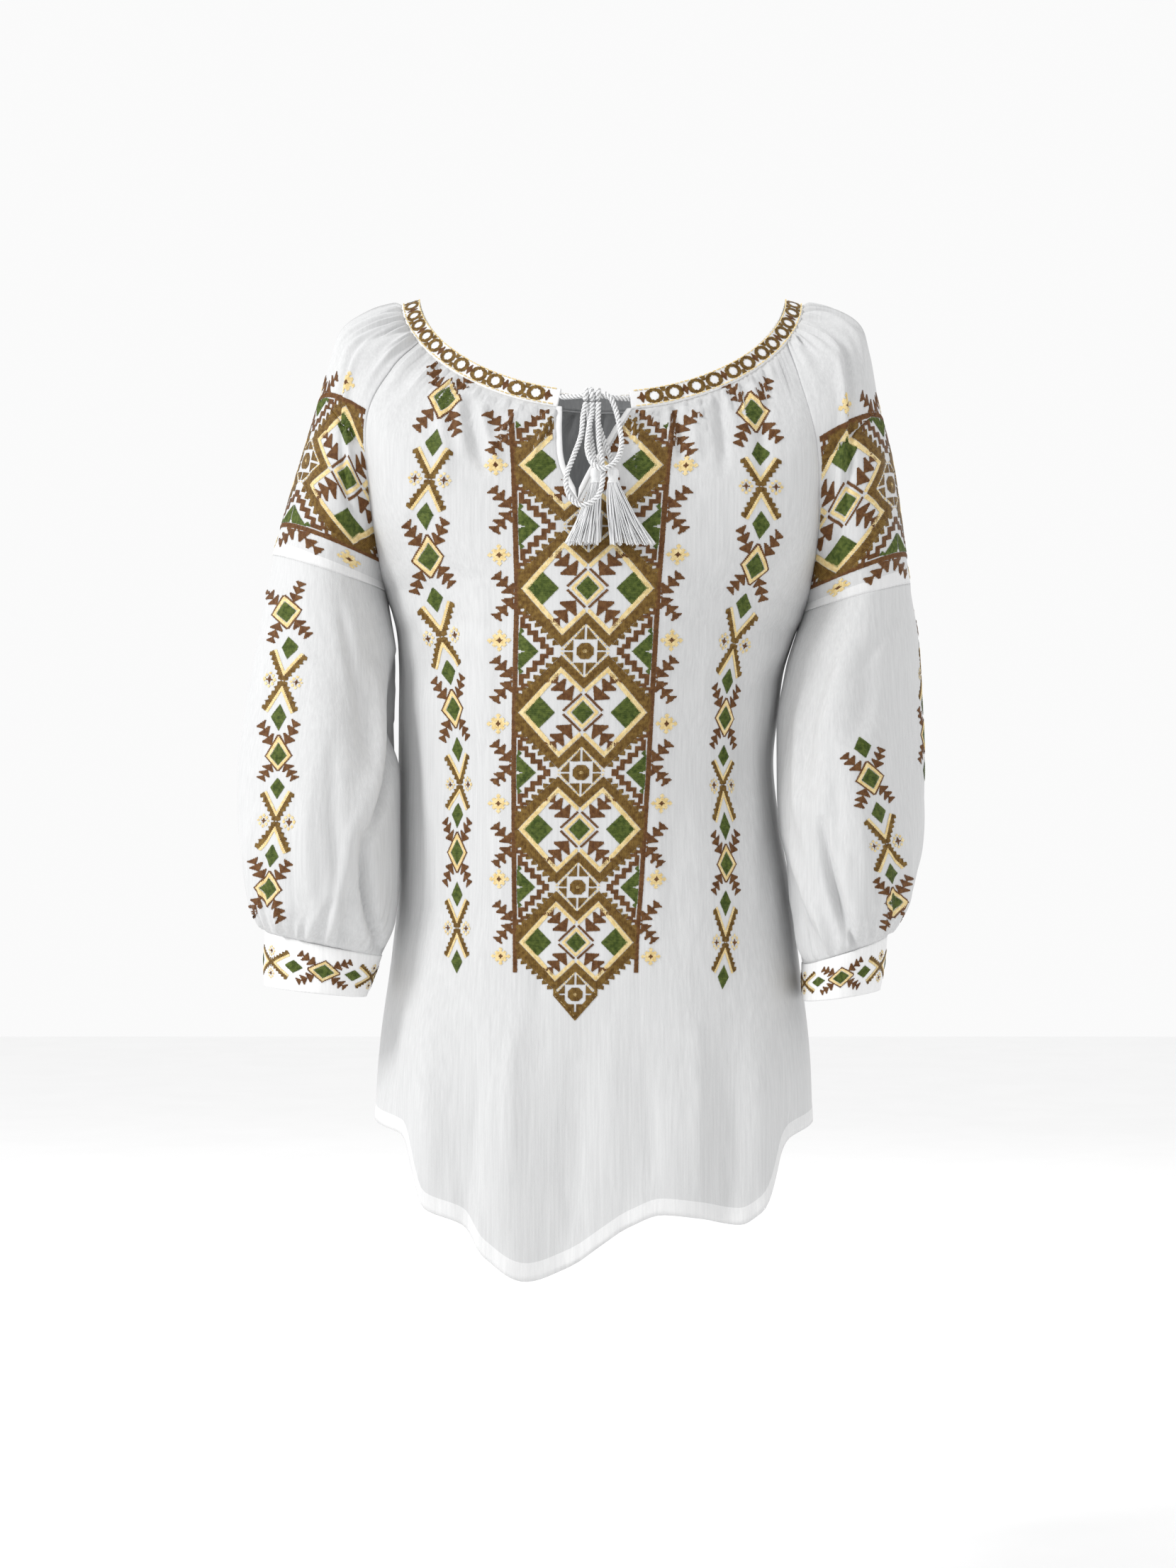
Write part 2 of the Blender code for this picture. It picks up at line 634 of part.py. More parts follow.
def lower_sleeve_place(side, around, down):
    """A point of a lower sleeve with its folds and its gathers into the cuff."""
    around, down = np.broadcast_arrays(np.asarray(around, dtype=float), np.asarray(down, dtype=float))
    length = SHOULDER_ROUTES[side].at(1.0)[2] - LOWER_SLEEVE[side][-1][3]
    to_cuff = (1 - down) * length
    relief = gathers((around + 1) / 2, to_cuff, CUFF_GATHERS, CUFF_GATHER_DEPTH, CUFF_GATHER_REACH)
    for place, deepest, half_width, half_length, depth in SLEEVE_FOLDS:
        away = np.abs((around - place + 1) % 2 - 1)
        across = np.exp(-((away / half_width) ** 2) * FOLD_SHARPNESS)
        along = 1 - smooth(np.abs(down - deepest) / half_length)
        relief = relief + depth * across * along
    inner_side = smooth((1 - np.abs(around)) / INNER_SLEEVE_CLEAR)
    relief = np.where(relief > 0, relief * inner_side, relief)

    def base(u, v):
        return lower_sleeve_base(side, u, np.clip(v, 0, 1))

    normal = normals_of(base, around, np.clip(down, 1e-3, 1 - 1e-3), float(side))
    ends = smooth(down / 0.08) * smooth((1 - down) / 0.04)
    return base(around, down) + normal * (relief * ends)[..., None]


def cuff_place(side, around, down):
    """A point of a cuff: down is 0 at the sleeve and 1 at the open end."""
    around, down = np.broadcast_arrays(np.asarray(around, dtype=float), np.asarray(down, dtype=float))
    top = ring_point(side, around, LOWER_SLEEVE[side][-1][1:])
    end = ring_point(side, around, CUFF_END[side][1:])
    return top + (end - top) * down[..., None]


class Cloth:
    """One cut piece: its points by key, and its cells, which turn anticlockwise seen from outside."""

    def __init__(self, name, wall, colour, outward):
        self.name = name
        self.wall = wall
        self.colour = colour
        self.outward = outward
        self.points = {}
        self.cells = []

    def row(self, keys, points):
        for key, point in zip(keys, points):
            self.points[key] = np.asarray(point, dtype=float)
        return keys

    def join(self, upper, lower):
        """Cells between two rows, of as many points or of twice as many on one of them."""
        if len(upper) == len(lower):
            for i in range(len(upper) - 1):
                self.add(upper[i], upper[i + 1], lower[i + 1], lower[i])
        elif len(upper) > len(lower):
            for i in range(len(lower) - 1):
                self.add(upper[2 * i], upper[2 * i + 1], lower[i])
                self.add(upper[2 * i + 1], lower[i + 1], lower[i])
                self.add(upper[2 * i + 1], upper[2 * i + 2], lower[i + 1])
        else:
            for i in range(len(upper) - 1):
                self.add(upper[i], lower[2 * i + 1], lower[2 * i])
                self.add(upper[i], upper[i + 1], lower[2 * i + 1])
                self.add(upper[i + 1], lower[2 * i + 2], lower[2 * i + 1])

    def add(self, *keys):
        self.cells.append(keys if self.outward else keys[::-1])

    def borders(self):
        """The edges that only one cell has, in that cell's direction."""
        edges = set()
        for cell in self.cells:
            for i, key in enumerate(cell):
                edges.add((key, cell[(i + 1) % len(cell)]))
        return [edge for edge in sorted(edges) if (edge[1], edge[0]) not in edges]


def spot(point):
    """A point's name, the same for all pieces that share it."""
    return tuple(np.round(point, 6) + 0.0)


UNDERARM_SPOTS = {spot(underarm(side)) for side in (LEFT, RIGHT)}


def shared_normals(pieces):
    """The normal at each point, averaged over every piece that meets there."""
    sums = {}
    for piece in pieces:
        for cell in piece.cells:
            corners = [piece.points[key] for key in cell]
            first = corners[0]
            area = sum(np.cross(b - first, c - first) for b, c in zip(corners[1:], corners[2:]))
            facing = unit(area)
            for corner in corners:
                sums[spot(corner)] = sums.get(spot(corner), 0) + facing
    return {place: unit(total) for place, total in sums.items()}


def material(name):
    """A plain material of the part's colour."""
    made = bpy.data.materials.get(name)
    if made is None:
        made = bpy.data.materials.new(name)
        made.use_nodes = True
        shader = made.node_tree.nodes["Principled BSDF"]
        shader.inputs["Base Color"].default_value = (*COLOURS[name], 1.0)
        shader.inputs["Roughness"].default_value = 0.9
        shader.inputs["Metallic"].default_value = 0.0
    return made


def add_object(name, mesh, colour, collection):
    """A mesh as a named object with its material."""
    mesh.shade_smooth()
    mesh.set_sharp_from_angle(angle=math.radians(50))
    made = bpy.data.objects.new(name, mesh)
    made.data.materials.append(material(colour))
    collection.objects.link(made)
    return made


def cloth_wall(piece, normals, collection):
    """A closed wall from a piece's cells, drawn back from its borders by half the seam's gap."""
    own = {}
    triangles = []
    for cell in piece.cells:
        for part in split_cell(piece, cell):
            triangles.append(part)
            a, b, c = (piece.points[key] for key in part)
            for key in part:
                own[key] = own.get(key, 0) + unit(np.cross(b - a, c - a))
    borders = piece.borders()
    inward = {}
    for start, end in borders:
        along = piece.points[end] - piece.points[start]
        for key in (start, end):
            inward.setdefault(key, []).append(unit(np.cross(own[key], along)))
    keys = sorted(piece.points)
    index = {key: i for i, key in enumerate(keys)}
    outer = []
    inner = []
    for key in keys:
        point = piece.points[key]
        normal = normals[spot(point)]
        if key in inward:
            first, last = inward[key][0], inward[key][-1]
            mitre = max(1 + float(np.dot(first, last)), 0.12)
            aside = np.zeros(3)
            if spot(point) in UNDERARM_SPOTS:
                normal = unit(own[key])
                aside[0] = -math.copysign(UNDERARM_SHIFT, normal[0])
            point = point + aside + (first + last) * SEAM_GAP / 2 / mitre
        outer.append(point + normal * piece.wall / 2)
        inner.append(point - normal * piece.wall / 2)
    total = len(keys)
    faces = []
    for part in triangles:
        numbers = [index[key] for key in part]
        faces.append(numbers)
        faces.append([number + total for number in reversed(numbers)])
    for start, end in borders:
        a, b = index[start], index[end]
        faces.append([b, a, a + total, b + total])
    mesh = bpy.data.meshes.new(piece.name)
    mesh.from_pydata([tuple(p) for p in outer + inner], [], faces)
    mesh.update()
    return add_object(piece.name, mesh, piece.colour, collection)


def split_cell(piece, cell):
    """A cell's triangles, cut along its shorter diagonal, the same on both faces of the wall."""
    if len(cell) == 3:
        return [cell]
    a, b, c, d = (piece.points[key] for key in cell)
    if np.linalg.norm(a - c) <= np.linalg.norm(b - d):
        return [(cell[0], cell[1], cell[2]), (cell[0], cell[2], cell[3])]
    return [(cell[0], cell[1], cell[3]), (cell[1], cell[2], cell[3])]


def panel_downs():
    """The rows of a panel, from the neck to the hem."""
    return [row / UPPER_ROWS for row in range(UPPER_ROWS)] + [
        1 + row / LOWER_ROWS for row in range(LOWER_ROWS + 1)
    ]


def slit_edge(side, down):
    """How far across the slit's edge is, at a share of the way to the underarm."""
    top_angle = SLIT_LEFT_ANGLE if side == LEFT else SLIT_RIGHT_ANGLE
    top = (90.0 - top_angle) / (90.0 - RAGLAN_ANGLE)
    part = min(down * UPPER_ROWS / SLIT_ROWS, 1.0)
    return top + (SLIT_END - top) * part**SLIT_CURVE


def half_across(side, count, down):
    """Places across one half of the front panel, left to right."""
    edge = slit_edge(side, down)
    return np.linspace(-1.0, edge, count + 1) if side == LEFT else np.linspace(edge, 1.0, count + 1)


def front_panel():
    """The front, in two halves above the slit's lower end."""
    piece = Cloth("front_panel", WALL, "gauze", False)
    before = None
    for row, down in enumerate(panel_downs()):
        count = FRONT_HALF_COLUMNS * (2 if row <= GATHER_ROWS else 1)
        now = []
        for side in (LEFT, RIGHT):
            across = half_across(side, count, down)
            keys = [(row, side, column) for column in range(count + 1)]
            if row >= SLIT_ROWS:
                keys[-1 if side == LEFT else 0] = (row, 0, 0)
            now.append(piece.row(keys, panel_place(FRONT, across, down)))
        if before:
            for upper, lower in zip(before, now):
                piece.join(upper, lower)
        before = now
    return piece


def back_panel():
    """The back, in one width."""
    piece = Cloth("back_panel", WALL, "gauze", True)
    before = None
    for row, down in enumerate(panel_downs()):
        count = BACK_COLUMNS * (2 if row <= GATHER_ROWS else 1)
        across = np.linspace(-1, 1, count + 1)
        keys = [(row, 0, column) for column in range(count + 1)]
        now = piece.row(keys, panel_place(BACK, across, down))
        if before:
            piece.join(before, now)
        before = now
    return piece


def upper_sleeve(side):
    """An upper sleeve, open along its raglan seams and closed at its last ring."""
    piece = Cloth("sleeve_upper_" + SIDE_WORD[side], WALL, "gauze", side == LEFT)
    before = None
    for row in range(UPPER_ROWS + 1):
        count = SLEEVE_COLUMNS * (2 if row <= GATHER_ROWS else 1)
        around = np.linspace(-1, 1, count + 1)
        keys = [(row, 0, column) for column in range(count + 1)]
        now = piece.row(keys, upper_sleeve_place(side, around, row / UPPER_ROWS))
        if before:
            piece.join(before, now)
        before = now
    return piece


def lower_sleeve(side):
    """A lower sleeve: a closed tube, with closer columns where it is gathered into the cuff."""
    piece = Cloth("sleeve_lower_" + SIDE_WORD[side], WALL, "gauze", side == LEFT)
    rows = SLEEVE_ROWS + CUFF_GATHER_ROWS
    before = None
    for row in range(rows + 1):
        count = SLEEVE_COLUMNS * (2 if row >= SLEEVE_ROWS else 1)
        around = np.linspace(-1, 1, count + 1)
        plain_part = min(row, SLEEVE_ROWS) / SLEEVE_ROWS
        gathered_part = max(row - SLEEVE_ROWS, 0) / CUFF_GATHER_ROWS
        down = plain_part * CUFF_GATHERS_START + gathered_part * (1 - CUFF_GATHERS_START)
        keys = [(row, 0, column % count) for column in range(count + 1)]
        now = piece.row(keys, lower_sleeve_place(side, around, down))
        if before:
            piece.join(before, now)
        before = now
    return piece


def cuff(side):
    """A cuff: a plain closed band."""
    piece = Cloth("cuff_" + SIDE_WORD[side], CUFF_WALL, "cuff", side == LEFT)
    before = None
    for row, count in enumerate((2 * SLEEVE_COLUMNS, SLEEVE_COLUMNS)):
        around = np.linspace(-1, 1, count + 1)
        keys = [(row, 0, column % count) for column in range(count + 1)]
        now = piece.row(keys, cuff_place(side, around, float(row)))
        if before:
            piece.join(before, now)
        before = now
    return piece


def neckband():
    """The band, from the slit's left edge round the back to its right edge."""
    piece = Cloth("neckband", BAND_WALL, "band", True)
    front_left = panel_angle(FRONT, half_across(LEFT, 2 * FRONT_HALF_COLUMNS, 0.0))[::-1]
    sleeve_left = sleeve_angle(LEFT, np.linspace(-1, 1, 2 * SLEEVE_COLUMNS + 1))
    back = panel_angle(BACK, np.linspace(-1, 1, 2 * BACK_COLUMNS + 1))
    sleeve_right = 360.0 + sleeve_angle(RIGHT, np.linspace(1, -1, 2 * SLEEVE_COLUMNS + 1))
    front_right = 360.0 + panel_angle(FRONT, half_across(RIGHT, 2 * FRONT_HALF_COLUMNS, 0.0))[::-1]
    angles = [front_left, sleeve_left[1:], back[1:], sleeve_right[1:], front_right[1:]]
    angles = np.concatenate(angles) % 360.0
    lower = piece.row([(1, 0, i) for i in range(len(angles))], neckline(angles, 1.0))
    half = angles[::2]
    upper = piece.row([(0, 0, i) for i in range(len(half))], neckline(half, 0.0))
    piece.join(upper, lower)
    return piece


def slit_binding():
    """The strip along both edges of the slit, from the neckband down to its lower end and up again."""
    piece = Cloth("slit_binding", WALL, "binding", False)
    downs = panel_downs()[: SLIT_ROWS + 1]
    edges = {}
    inners = {}
    for side in (LEFT, RIGHT):
        for row, down in enumerate(downs):
            here = slit_edge(side, down)
            other = slit_edge(-side, down)
            edge = panel_place(FRONT, np.array([here]), down)[0]
            middle = panel_base(FRONT, np.array([(here + other) / 2]), down)[0]
            room = float(np.linalg.norm(middle - edge))
            share = min(BINDING_WIDTH / room, BINDING_SHARE) if room > 1e-6 else 0.0
            edges[side, row] = edge
            inners[side, row] = edge + (middle - edge) * share
    last = SLIT_ROWS
    end = edges[LEFT, last]
    above = (inners[LEFT, last - 1] + inners[RIGHT, last - 1]) / 2
    order = [(LEFT, row) for row in range(last)] + [(0, last)]
    order += [(RIGHT, row) for row in reversed(range(last))]
    edges[0, last] = end
    inners[0, last] = end + (above - end) * BINDING_END_SHARE
    outline = piece.row([(0, i) for i in range(len(order))], [edges[key] for key in order])
    inside = piece.row([(1, i) for i in range(len(order))], [inners[key] for key in order])
    piece.join(inside, outline)
    return piece


def cord_curve(name, places, collection):
    """A round cord on a smooth route."""
    route = Route(places)
    count = max(int(round(route.length / (CORD_STEP * CORD_DIAMETER))), 4)
    data = bpy.data.curves.new(name, "CURVE")
    data.dimensions = "3D"
    data.bevel_depth = CORD_DIAMETER / 2
    data.bevel_resolution = 2
    data.use_fill_caps = True
    spline = data.splines.new("POLY")
    spline.points.add(count)
    for i, place in enumerate(route.at(np.linspace(0, 1, count + 1))):
        spline.points[i].co = (*place, 1.0)
    data.materials.append(material("cord"))
    made = bpy.data.objects.new(name, data)
    collection.objects.link(made)
    return made


def mesh_of_curve(curve):
    """A curve's tube as a mesh with its caps welded on; the curve is removed."""
    bpy.context.view_layer.update()
    graph = bpy.context.evaluated_depsgraph_get()
    mesh = bpy.data.meshes.new_from_object(curve.evaluated_get(graph))
    work = bmesh.new()
    work.from_mesh(mesh)
    bmesh.ops.remove_doubles(work, verts=work.verts, dist=1e-6)
    bmesh.ops.recalc_face_normals(work, faces=work.faces)
    work.to_mesh(mesh)
    work.free()
    made = bpy.data.objects.new(curve.name + "_mesh", mesh)
    made.matrix_world = curve.matrix_world
    bpy.data.objects.remove(curve)
    return made


def drawstring_knot(collection, cutters):
    """The drawstring between the band's two ends, with the bow's knot round its middle."""
    knot = np.array(KNOT_CENTRE)
    start = neckline(SLIT_LEFT_ANGLE, CORD_AT_BAND) + np.array(CORD_END_ROOM)
    end = neckline(SLIT_RIGHT_ANGLE, CORD_AT_BAND) - np.array(CORD_END_ROOM)
    behind = knot + np.array(CORD_BEHIND_KNOT)
    by_left = (start + behind) / 2 + np.array(CORD_SAG)
    by_right = (end + behind) / 2 + np.array(CORD_SAG)
    run = mesh_of_curve(cord_curve("neck_run", [start, by_left, behind, by_right, end], cutters))
    cutters.objects.link(run)
    run.hide_render = True
    run.display_type = "WIRE"

    work = bmesh.new()
    rings = []
    for height, size in KNOT_PROFILE:
        ring = []
        for i in range(KNOT_SIDES):
            turn = 2 * math.pi * i / KNOT_SIDES
            x = knot[0] + KNOT_HALF_WIDTH * size * math.cos(turn)
            y = knot[1] + KNOT_HALF_DEPTH * size * math.sin(turn)
            ring.append(work.verts.new((x, y, knot[2] + KNOT_HALF_HEIGHT * height)))
        rings.append(ring)
    for upper, lower in zip(rings, rings[1:]):
        for i in range(KNOT_SIDES):
            j = (i + 1) % KNOT_SIDES
            work.faces.new((upper[i], lower[i], lower[j], upper[j]))
    work.faces.new(rings[0])
    work.faces.new(rings[-1][::-1])
    bmesh.ops.recalc_face_normals(work, faces=work.faces)
    mesh = bpy.data.meshes.new("drawstring_knot")
    work.to_mesh(mesh)
    work.free()
    made = add_object("drawstring_knot", mesh, "cord", collection)
    union = made.modifiers.new("neck_run", "BOOLEAN")
    union.operation = "UNION"
    union.object = run
    return made


def tassel(side, collection):
    """A tassel: a turned head whose underside grows into locks that fan out."""
    top = np.array(TASSEL_TOP[side])
    work = bmesh.new()
    rings = []
    for radius, below in TASSEL_PROFILE:
        ring = []
        for i in range(TASSEL_SECTORS):
            turn = 2 * math.pi * i / TASSEL_SECTORS
            ring.append(work.verts.new((radius * math.cos(turn), radius * math.sin(turn), -below)))
        rings.append(ring)
    work.faces.new(rings[0])
    radius, below = TASSEL_PROFILE[-1]
    for step in range(TASSEL_RINGS - 1, 0, -1):
        ring = []
        for i in range(TASSEL_SECTORS):
            turn = 2 * math.pi * i / TASSEL_SECTORS
            reach = radius * step / TASSEL_RINGS
            ring.append(work.verts.new((reach * math.cos(turn), reach * math.sin(turn), -below)))
        rings.append(ring)
    hub = work.verts.new((0.0, 0.0, -below))
    cells = []
    for number, (upper, lower) in enumerate(zip(rings, rings[1:])):
        for i in range(TASSEL_SECTORS):
            j = (i + 1) % TASSEL_SECTORS
            face = work.faces.new((upper[i], lower[i], lower[j], upper[j]))
            if number >= len(TASSEL_PROFILE) - 1:
                cells.append(face)
    for i in range(TASSEL_SECTORS):
        cells.append(work.faces.new((rings[-1][i], hub, rings[-1][(i + 1) % TASSEL_SECTORS])))
    bmesh.ops.recalc_face_normals(work, faces=work.faces)
    bmesh.ops.inset_individual(work, faces=cells, thickness=STRAND_INSET, use_even_offset=True)
    low, high = TASSEL_SPREAD[side]
    for number, cell in enumerate(cells):
        root = cell.calc_center_median()
        tip_x = (low + high) / 2 - top[0] + (high - low) / 2 * math.sin(math.pi / 2 * root.x / radius)
        length = (TASSEL_LENGTH - below) * (0.95 + 0.05 * math.sin(number * 2.4))
        for before, share in STRAND_STEPS:
            cell = bmesh.ops.extrude_discrete_faces(work, faces=[cell])["faces"][0]
            for vertex in cell.verts:
                vertex.co.x += (tip_x - root.x) * (share**1.2 - before**1.2)
                vertex.co.y += root.y * STRAND_SPREAD * (share - before)
                vertex.co.z -= length * (share - before)
    bmesh.ops.translate(work, verts=work.verts, vec=tuple(top))
    mesh = bpy.data.meshes.new("tassel_" + SIDE_WORD[side])
    work.to_mesh(mesh)
    work.free()
    return add_object("tassel_" + SIDE_WORD[side], mesh, "tassel", collection)


def new_collection(name):
    """A collection in the scene."""
    made = bpy.data.collections.new(name)
    bpy.context.scene.collection.children.link(made)
    return made


def main():
    """Removes what is there and makes the blouse."""
    for old in list(bpy.data.objects):
        bpy.data.objects.remove(old)
    blouse = new_collection(NAME)
    cutters = new_collection(NAME + "_cutters")
    pieces = [front_panel(), back_panel(), neckband(), slit_binding()]
    for side in (LEFT, RIGHT):
        pieces += [upper_sleeve(side), lower_sleeve(side), cuff(side)]
    normals = shared_normals(pieces)
    for piece in pieces:
        cloth_wall(piece, normals, blouse)
    drawstring_knot(blouse, cutters)
    for name, places in CORD_ROUTES.items():
        cord_curve(name, places, blouse)
    for side in (LEFT, RIGHT):
        tassel(side, blouse)


main()
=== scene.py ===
"""The folk blouse as it looks: crinkled white gauze, raised embroidery, a twisted cord and tassels.

The surfaces are those of the CAD solids, at a finer step, with their creases, hems and seams added.
Metres, +Z up, the front towards -Y.
"""

import math

import bmesh
import bpy
import numpy as np
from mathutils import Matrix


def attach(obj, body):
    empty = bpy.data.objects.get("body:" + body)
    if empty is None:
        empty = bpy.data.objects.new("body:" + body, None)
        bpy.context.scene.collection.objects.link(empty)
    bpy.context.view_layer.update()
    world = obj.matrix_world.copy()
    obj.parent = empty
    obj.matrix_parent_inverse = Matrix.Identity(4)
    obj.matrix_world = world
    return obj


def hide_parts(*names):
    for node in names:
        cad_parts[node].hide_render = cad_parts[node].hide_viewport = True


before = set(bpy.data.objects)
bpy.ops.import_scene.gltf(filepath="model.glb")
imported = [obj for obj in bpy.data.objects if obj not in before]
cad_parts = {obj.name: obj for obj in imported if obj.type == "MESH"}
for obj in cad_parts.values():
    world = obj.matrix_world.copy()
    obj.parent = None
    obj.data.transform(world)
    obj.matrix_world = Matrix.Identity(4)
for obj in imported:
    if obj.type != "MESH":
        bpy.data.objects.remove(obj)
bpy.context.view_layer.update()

LEFT, RIGHT = -1, 1
FRONT, BACK = -1, 1
SIDE_WORD = {LEFT: "left", RIGHT: "right"}

# Cloth
WALL = 0.0012
BAND_WALL = 0.0020
CUFF_WALL = 0.0018

# The neckband's top edge: an ellipse from the front, highest at the two shoulder peaks
NECK_HALF_WIDTH = 0.1465
NECK_DEPTH = {FRONT: 0.100, BACK: 0.085}
NECK_DROP = {FRONT: 0.085, BACK: 0.066}
NECK_DROP_POWER = 1.15
BAND_HEIGHT = 0.0143
SHOULDER_SLOPE = 0.30
CHEST_SLOPE = 0.25
RAGLAN_ANGLE = 24.0

# The front slit: its edges at the neckband, as angles round the neckline, and its lower end
SLIT_LEFT_ANGLE = 102.7
SLIT_RIGHT_ANGLE = 82.2
SLIT_END = -0.045
SLIT_ROWS = 6
UPPER_ROWS = 12
BINDING_WIDTH = 0.0034

# How the slit narrows to its end, and the binding's greatest share of half the room across it
SLIT_CURVE = 0.9
BINDING_SHARE = 0.72

# Where the neckline's own shape gives way to the cloth below, as shares of the way down
PANEL_NECK_FIT = 1 / 1.3
SLEEVE_NECK_FIT = 1 / 2.2
SLEEVE_SEAM_FIT = 0.2
HEM_REACH = -0.66
HEM_SQUARE = 2.7

# How far from a seam, across or around, relief has grown to its full height
PANEL_SEAM_CLEAR = 0.10
SLEEVE_SEAM_CLEAR = 0.12
INNER_SLEEVE_CLEAR = 0.25
FOLD_SHARPNESS = 1.6

# Gathers: how many, how deep, how far they reach from their seam, and how soon they rise from it
FRONT_HALF_GATHERS = 8
BACK_GATHERS = 10
SHOULDER_GATHERS = 10
CUFF_GATHERS = 10
GATHER_DEPTH = 0.0026
GATHER_REACH = 0.075
GATHER_RISE = 0.014
CUFF_GATHER_DEPTH = 0.0036
CUFF_GATHER_REACH = 0.070

# The body's sections: half outlines by height, and how square each section is
TORSO_COLUMNS = "height left right side front back square"
TORSO = (
    (-0.780, -0.186, 0.171, 0.010, -0.122, 0.112, 2.7),
    (-0.660, -0.183, 0.169, 0.012, -0.121, 0.110, 2.7),
    (-0.600, -0.179, 0.166, 0.016, -0.120, 0.108, 2.6),
    (-0.520, -0.1690, 0.157, 0.024, -0.118, 0.104, 2.5),
    (-0.480, -0.1655, 0.1530, 0.028, -0.117, 0.102, 2.4),
    (-0.420, -0.1650, 0.1430, 0.030, -0.117, 0.100, 2.3),
    (-0.370, -0.1648, 0.1380, 0.030, -0.119, 0.101, 2.2),
    (-0.330, -0.1645, 0.1420, 0.028, -0.122, 0.104, 2.2),
    (-0.300, -0.1640, 0.1455, 0.023, -0.125, 0.106, 2.1),
    (-0.280, -0.1642, 0.1500, 0.016, -0.126, 0.107, 2.1),
    (-0.265, -0.1655, 0.1545, 0.009, -0.126, 0.108, 2.0),
    (-0.2508, -0.1685, 0.1613, 0.000, -0.126, 0.108, 2.0),
    (-0.2337, -0.1739, 0.1640, 0.000, -0.126, 0.108, 2.0),
    (-0.180, -0.1760, 0.1680, 0.000, -0.121, 0.107, 2.0),
    (-0.130, -0.1760, 0.1680, 0.000, -0.113, 0.101, 2.0),
    (-0.099, -0.1760, 0.1680, 0.000, -0.1036, 0.0945, 2.0),
    (-0.080, -0.1760, 0.1680, 0.000, -0.1000, 0.0885, 2.0),
)
UNDERARM_HEIGHT = {LEFT: -0.2337, RIGHT: -0.2508}

# The hem's height by its place across. Columns: across, height
HEM = {
    FRONT: (
        (-0.186, -0.654),
        (-0.160, -0.661),
        (-0.146, -0.686),
        (-0.134, -0.716),
        (-0.108, -0.728),
        (-0.0895, -0.752),
        (-0.0577, -0.7695),
        (-0.030, -0.761),
        (0.0196, -0.728),
        (0.0446, -0.7185),
        (0.074, -0.722),
        (0.1037, -0.728),
        (0.119, -0.719),
        (0.133, -0.690),
        (0.150, -0.664),
        (0.171, -0.656),
    ),
    BACK: (
        (-0.186, -0.654),
        (-0.150, -0.668),
        (-0.110, -0.702),
        (-0.060, -0.731),
        (0.000, -0.739),
        (0.050, -0.731),
        (0.100, -0.702),
        (0.140, -0.668),
        (0.171, -0.656),
    ),
}

# The raglan seams, by the places that each passes between the neckband and the underarm
RAGLAN = {
    (FRONT, LEFT): (
        (-0.165, -0.066, -0.062),
        (-0.184, -0.078, -0.102),
        (-0.182, -0.066, -0.165),
        (-0.177, -0.032, -0.212),
    ),
    (FRONT, RIGHT): (
        (0.154, -0.066, -0.070),
        (0.166, -0.078, -0.119),
        (0.169, -0.064, -0.180),
        (0.165, -0.032, -0.229),
    ),
    (BACK, LEFT): (
        (-0.164, 0.060, -0.055),
        (-0.180, 0.074, -0.105),
        (-0.180, 0.062, -0.165),
        (-0.177, 0.031, -0.212),
    ),
    (BACK, RIGHT): (
        (0.154, 0.060, -0.062),
        (0.166, 0.074, -0.119),
        (0.169, 0.060, -0.180),
        (0.165, 0.031, -0.229),
    ),
}

# The line over the shoulder and down the outside of each upper sleeve
SHOULDER_LINE = {
    LEFT: (
        (-0.186, 0.000, -0.011),
        (-0.2085, 0.000, -0.024),
        (-0.2180, 0.000, -0.047),
        (-0.2265, 0.000, -0.080),
        (-0.2390, 0.000, -0.122),
        (-0.2525, 0.000, -0.166),
        (-0.2640, 0.000, -0.205),
    ),
    RIGHT: (
        (0.186, 0.000, -0.008),
        (0.2065, 0.000, -0.020),
        (0.2145, 0.000, -0.045),
        (0.2215, 0.000, -0.085),
        (0.2320, 0.000, -0.130),
        (0.2395, 0.000, -0.180),
        (0.2460, 0.000, -0.228),
    ),
}
UPPER_SLEEVE_DEPTH = ((0.0, 0.030), (0.3, 0.060), (0.5, 0.076), (0.7, 0.081), (0.85, 0.079), (1.0, 0.075))

# The lower sleeves' sections, from below the joining seam to the cuff
# Columns: down, x, y, z, half_width, half_depth, tilt, yaw
LOWER_SLEEVE = {
    LEFT: (
        (0.18, -0.2196, -0.011, -0.275, 0.0553, 0.074, 13, -12),
        (0.37, -0.2224, -0.022, -0.330, 0.0588, 0.072, 8, -20),
        (0.56, -0.2240, -0.032, -0.385, 0.0622, 0.070, 6, -20),
        (0.75, -0.2235, -0.042, -0.440, 0.0628, 0.066, 8, -18),
        (0.90, -0.2215, -0.050, -0.486, 0.0580, 0.056, 10, -10),
        (1.00, -0.2200, -0.054, -0.513, 0.0460, 0.036, 12, 0),
    ),
    RIGHT: (
        (0.18, 0.1995, -0.011, -0.288, 0.0535, 0.074, 12, -12),
        (0.37, 0.1957, -0.022, -0.338, 0.0556, 0.072, 8, -20),
        (0.56, 0.1955, -0.032, -0.390, 0.0555, 0.070, 6, -20),
        (0.75, 0.1970, -0.042, -0.443, 0.0530, 0.066, 8, -18),
        (0.90, 0.1965, -0.050, -0.488, 0.0455, 0.058, 14, -10),
        (1.00, 0.1905, -0.054, -0.518, 0.0345, 0.0455, 19, 0),
    ),
}
CUFF_END = {
    LEFT: (1.00, -0.2255, -0.057, -0.5505, 0.0395, 0.034, 6, 0),
    RIGHT: (1.00, 0.1870, -0.057, -0.5535, 0.0300, 0.0435, 9, 0),
}

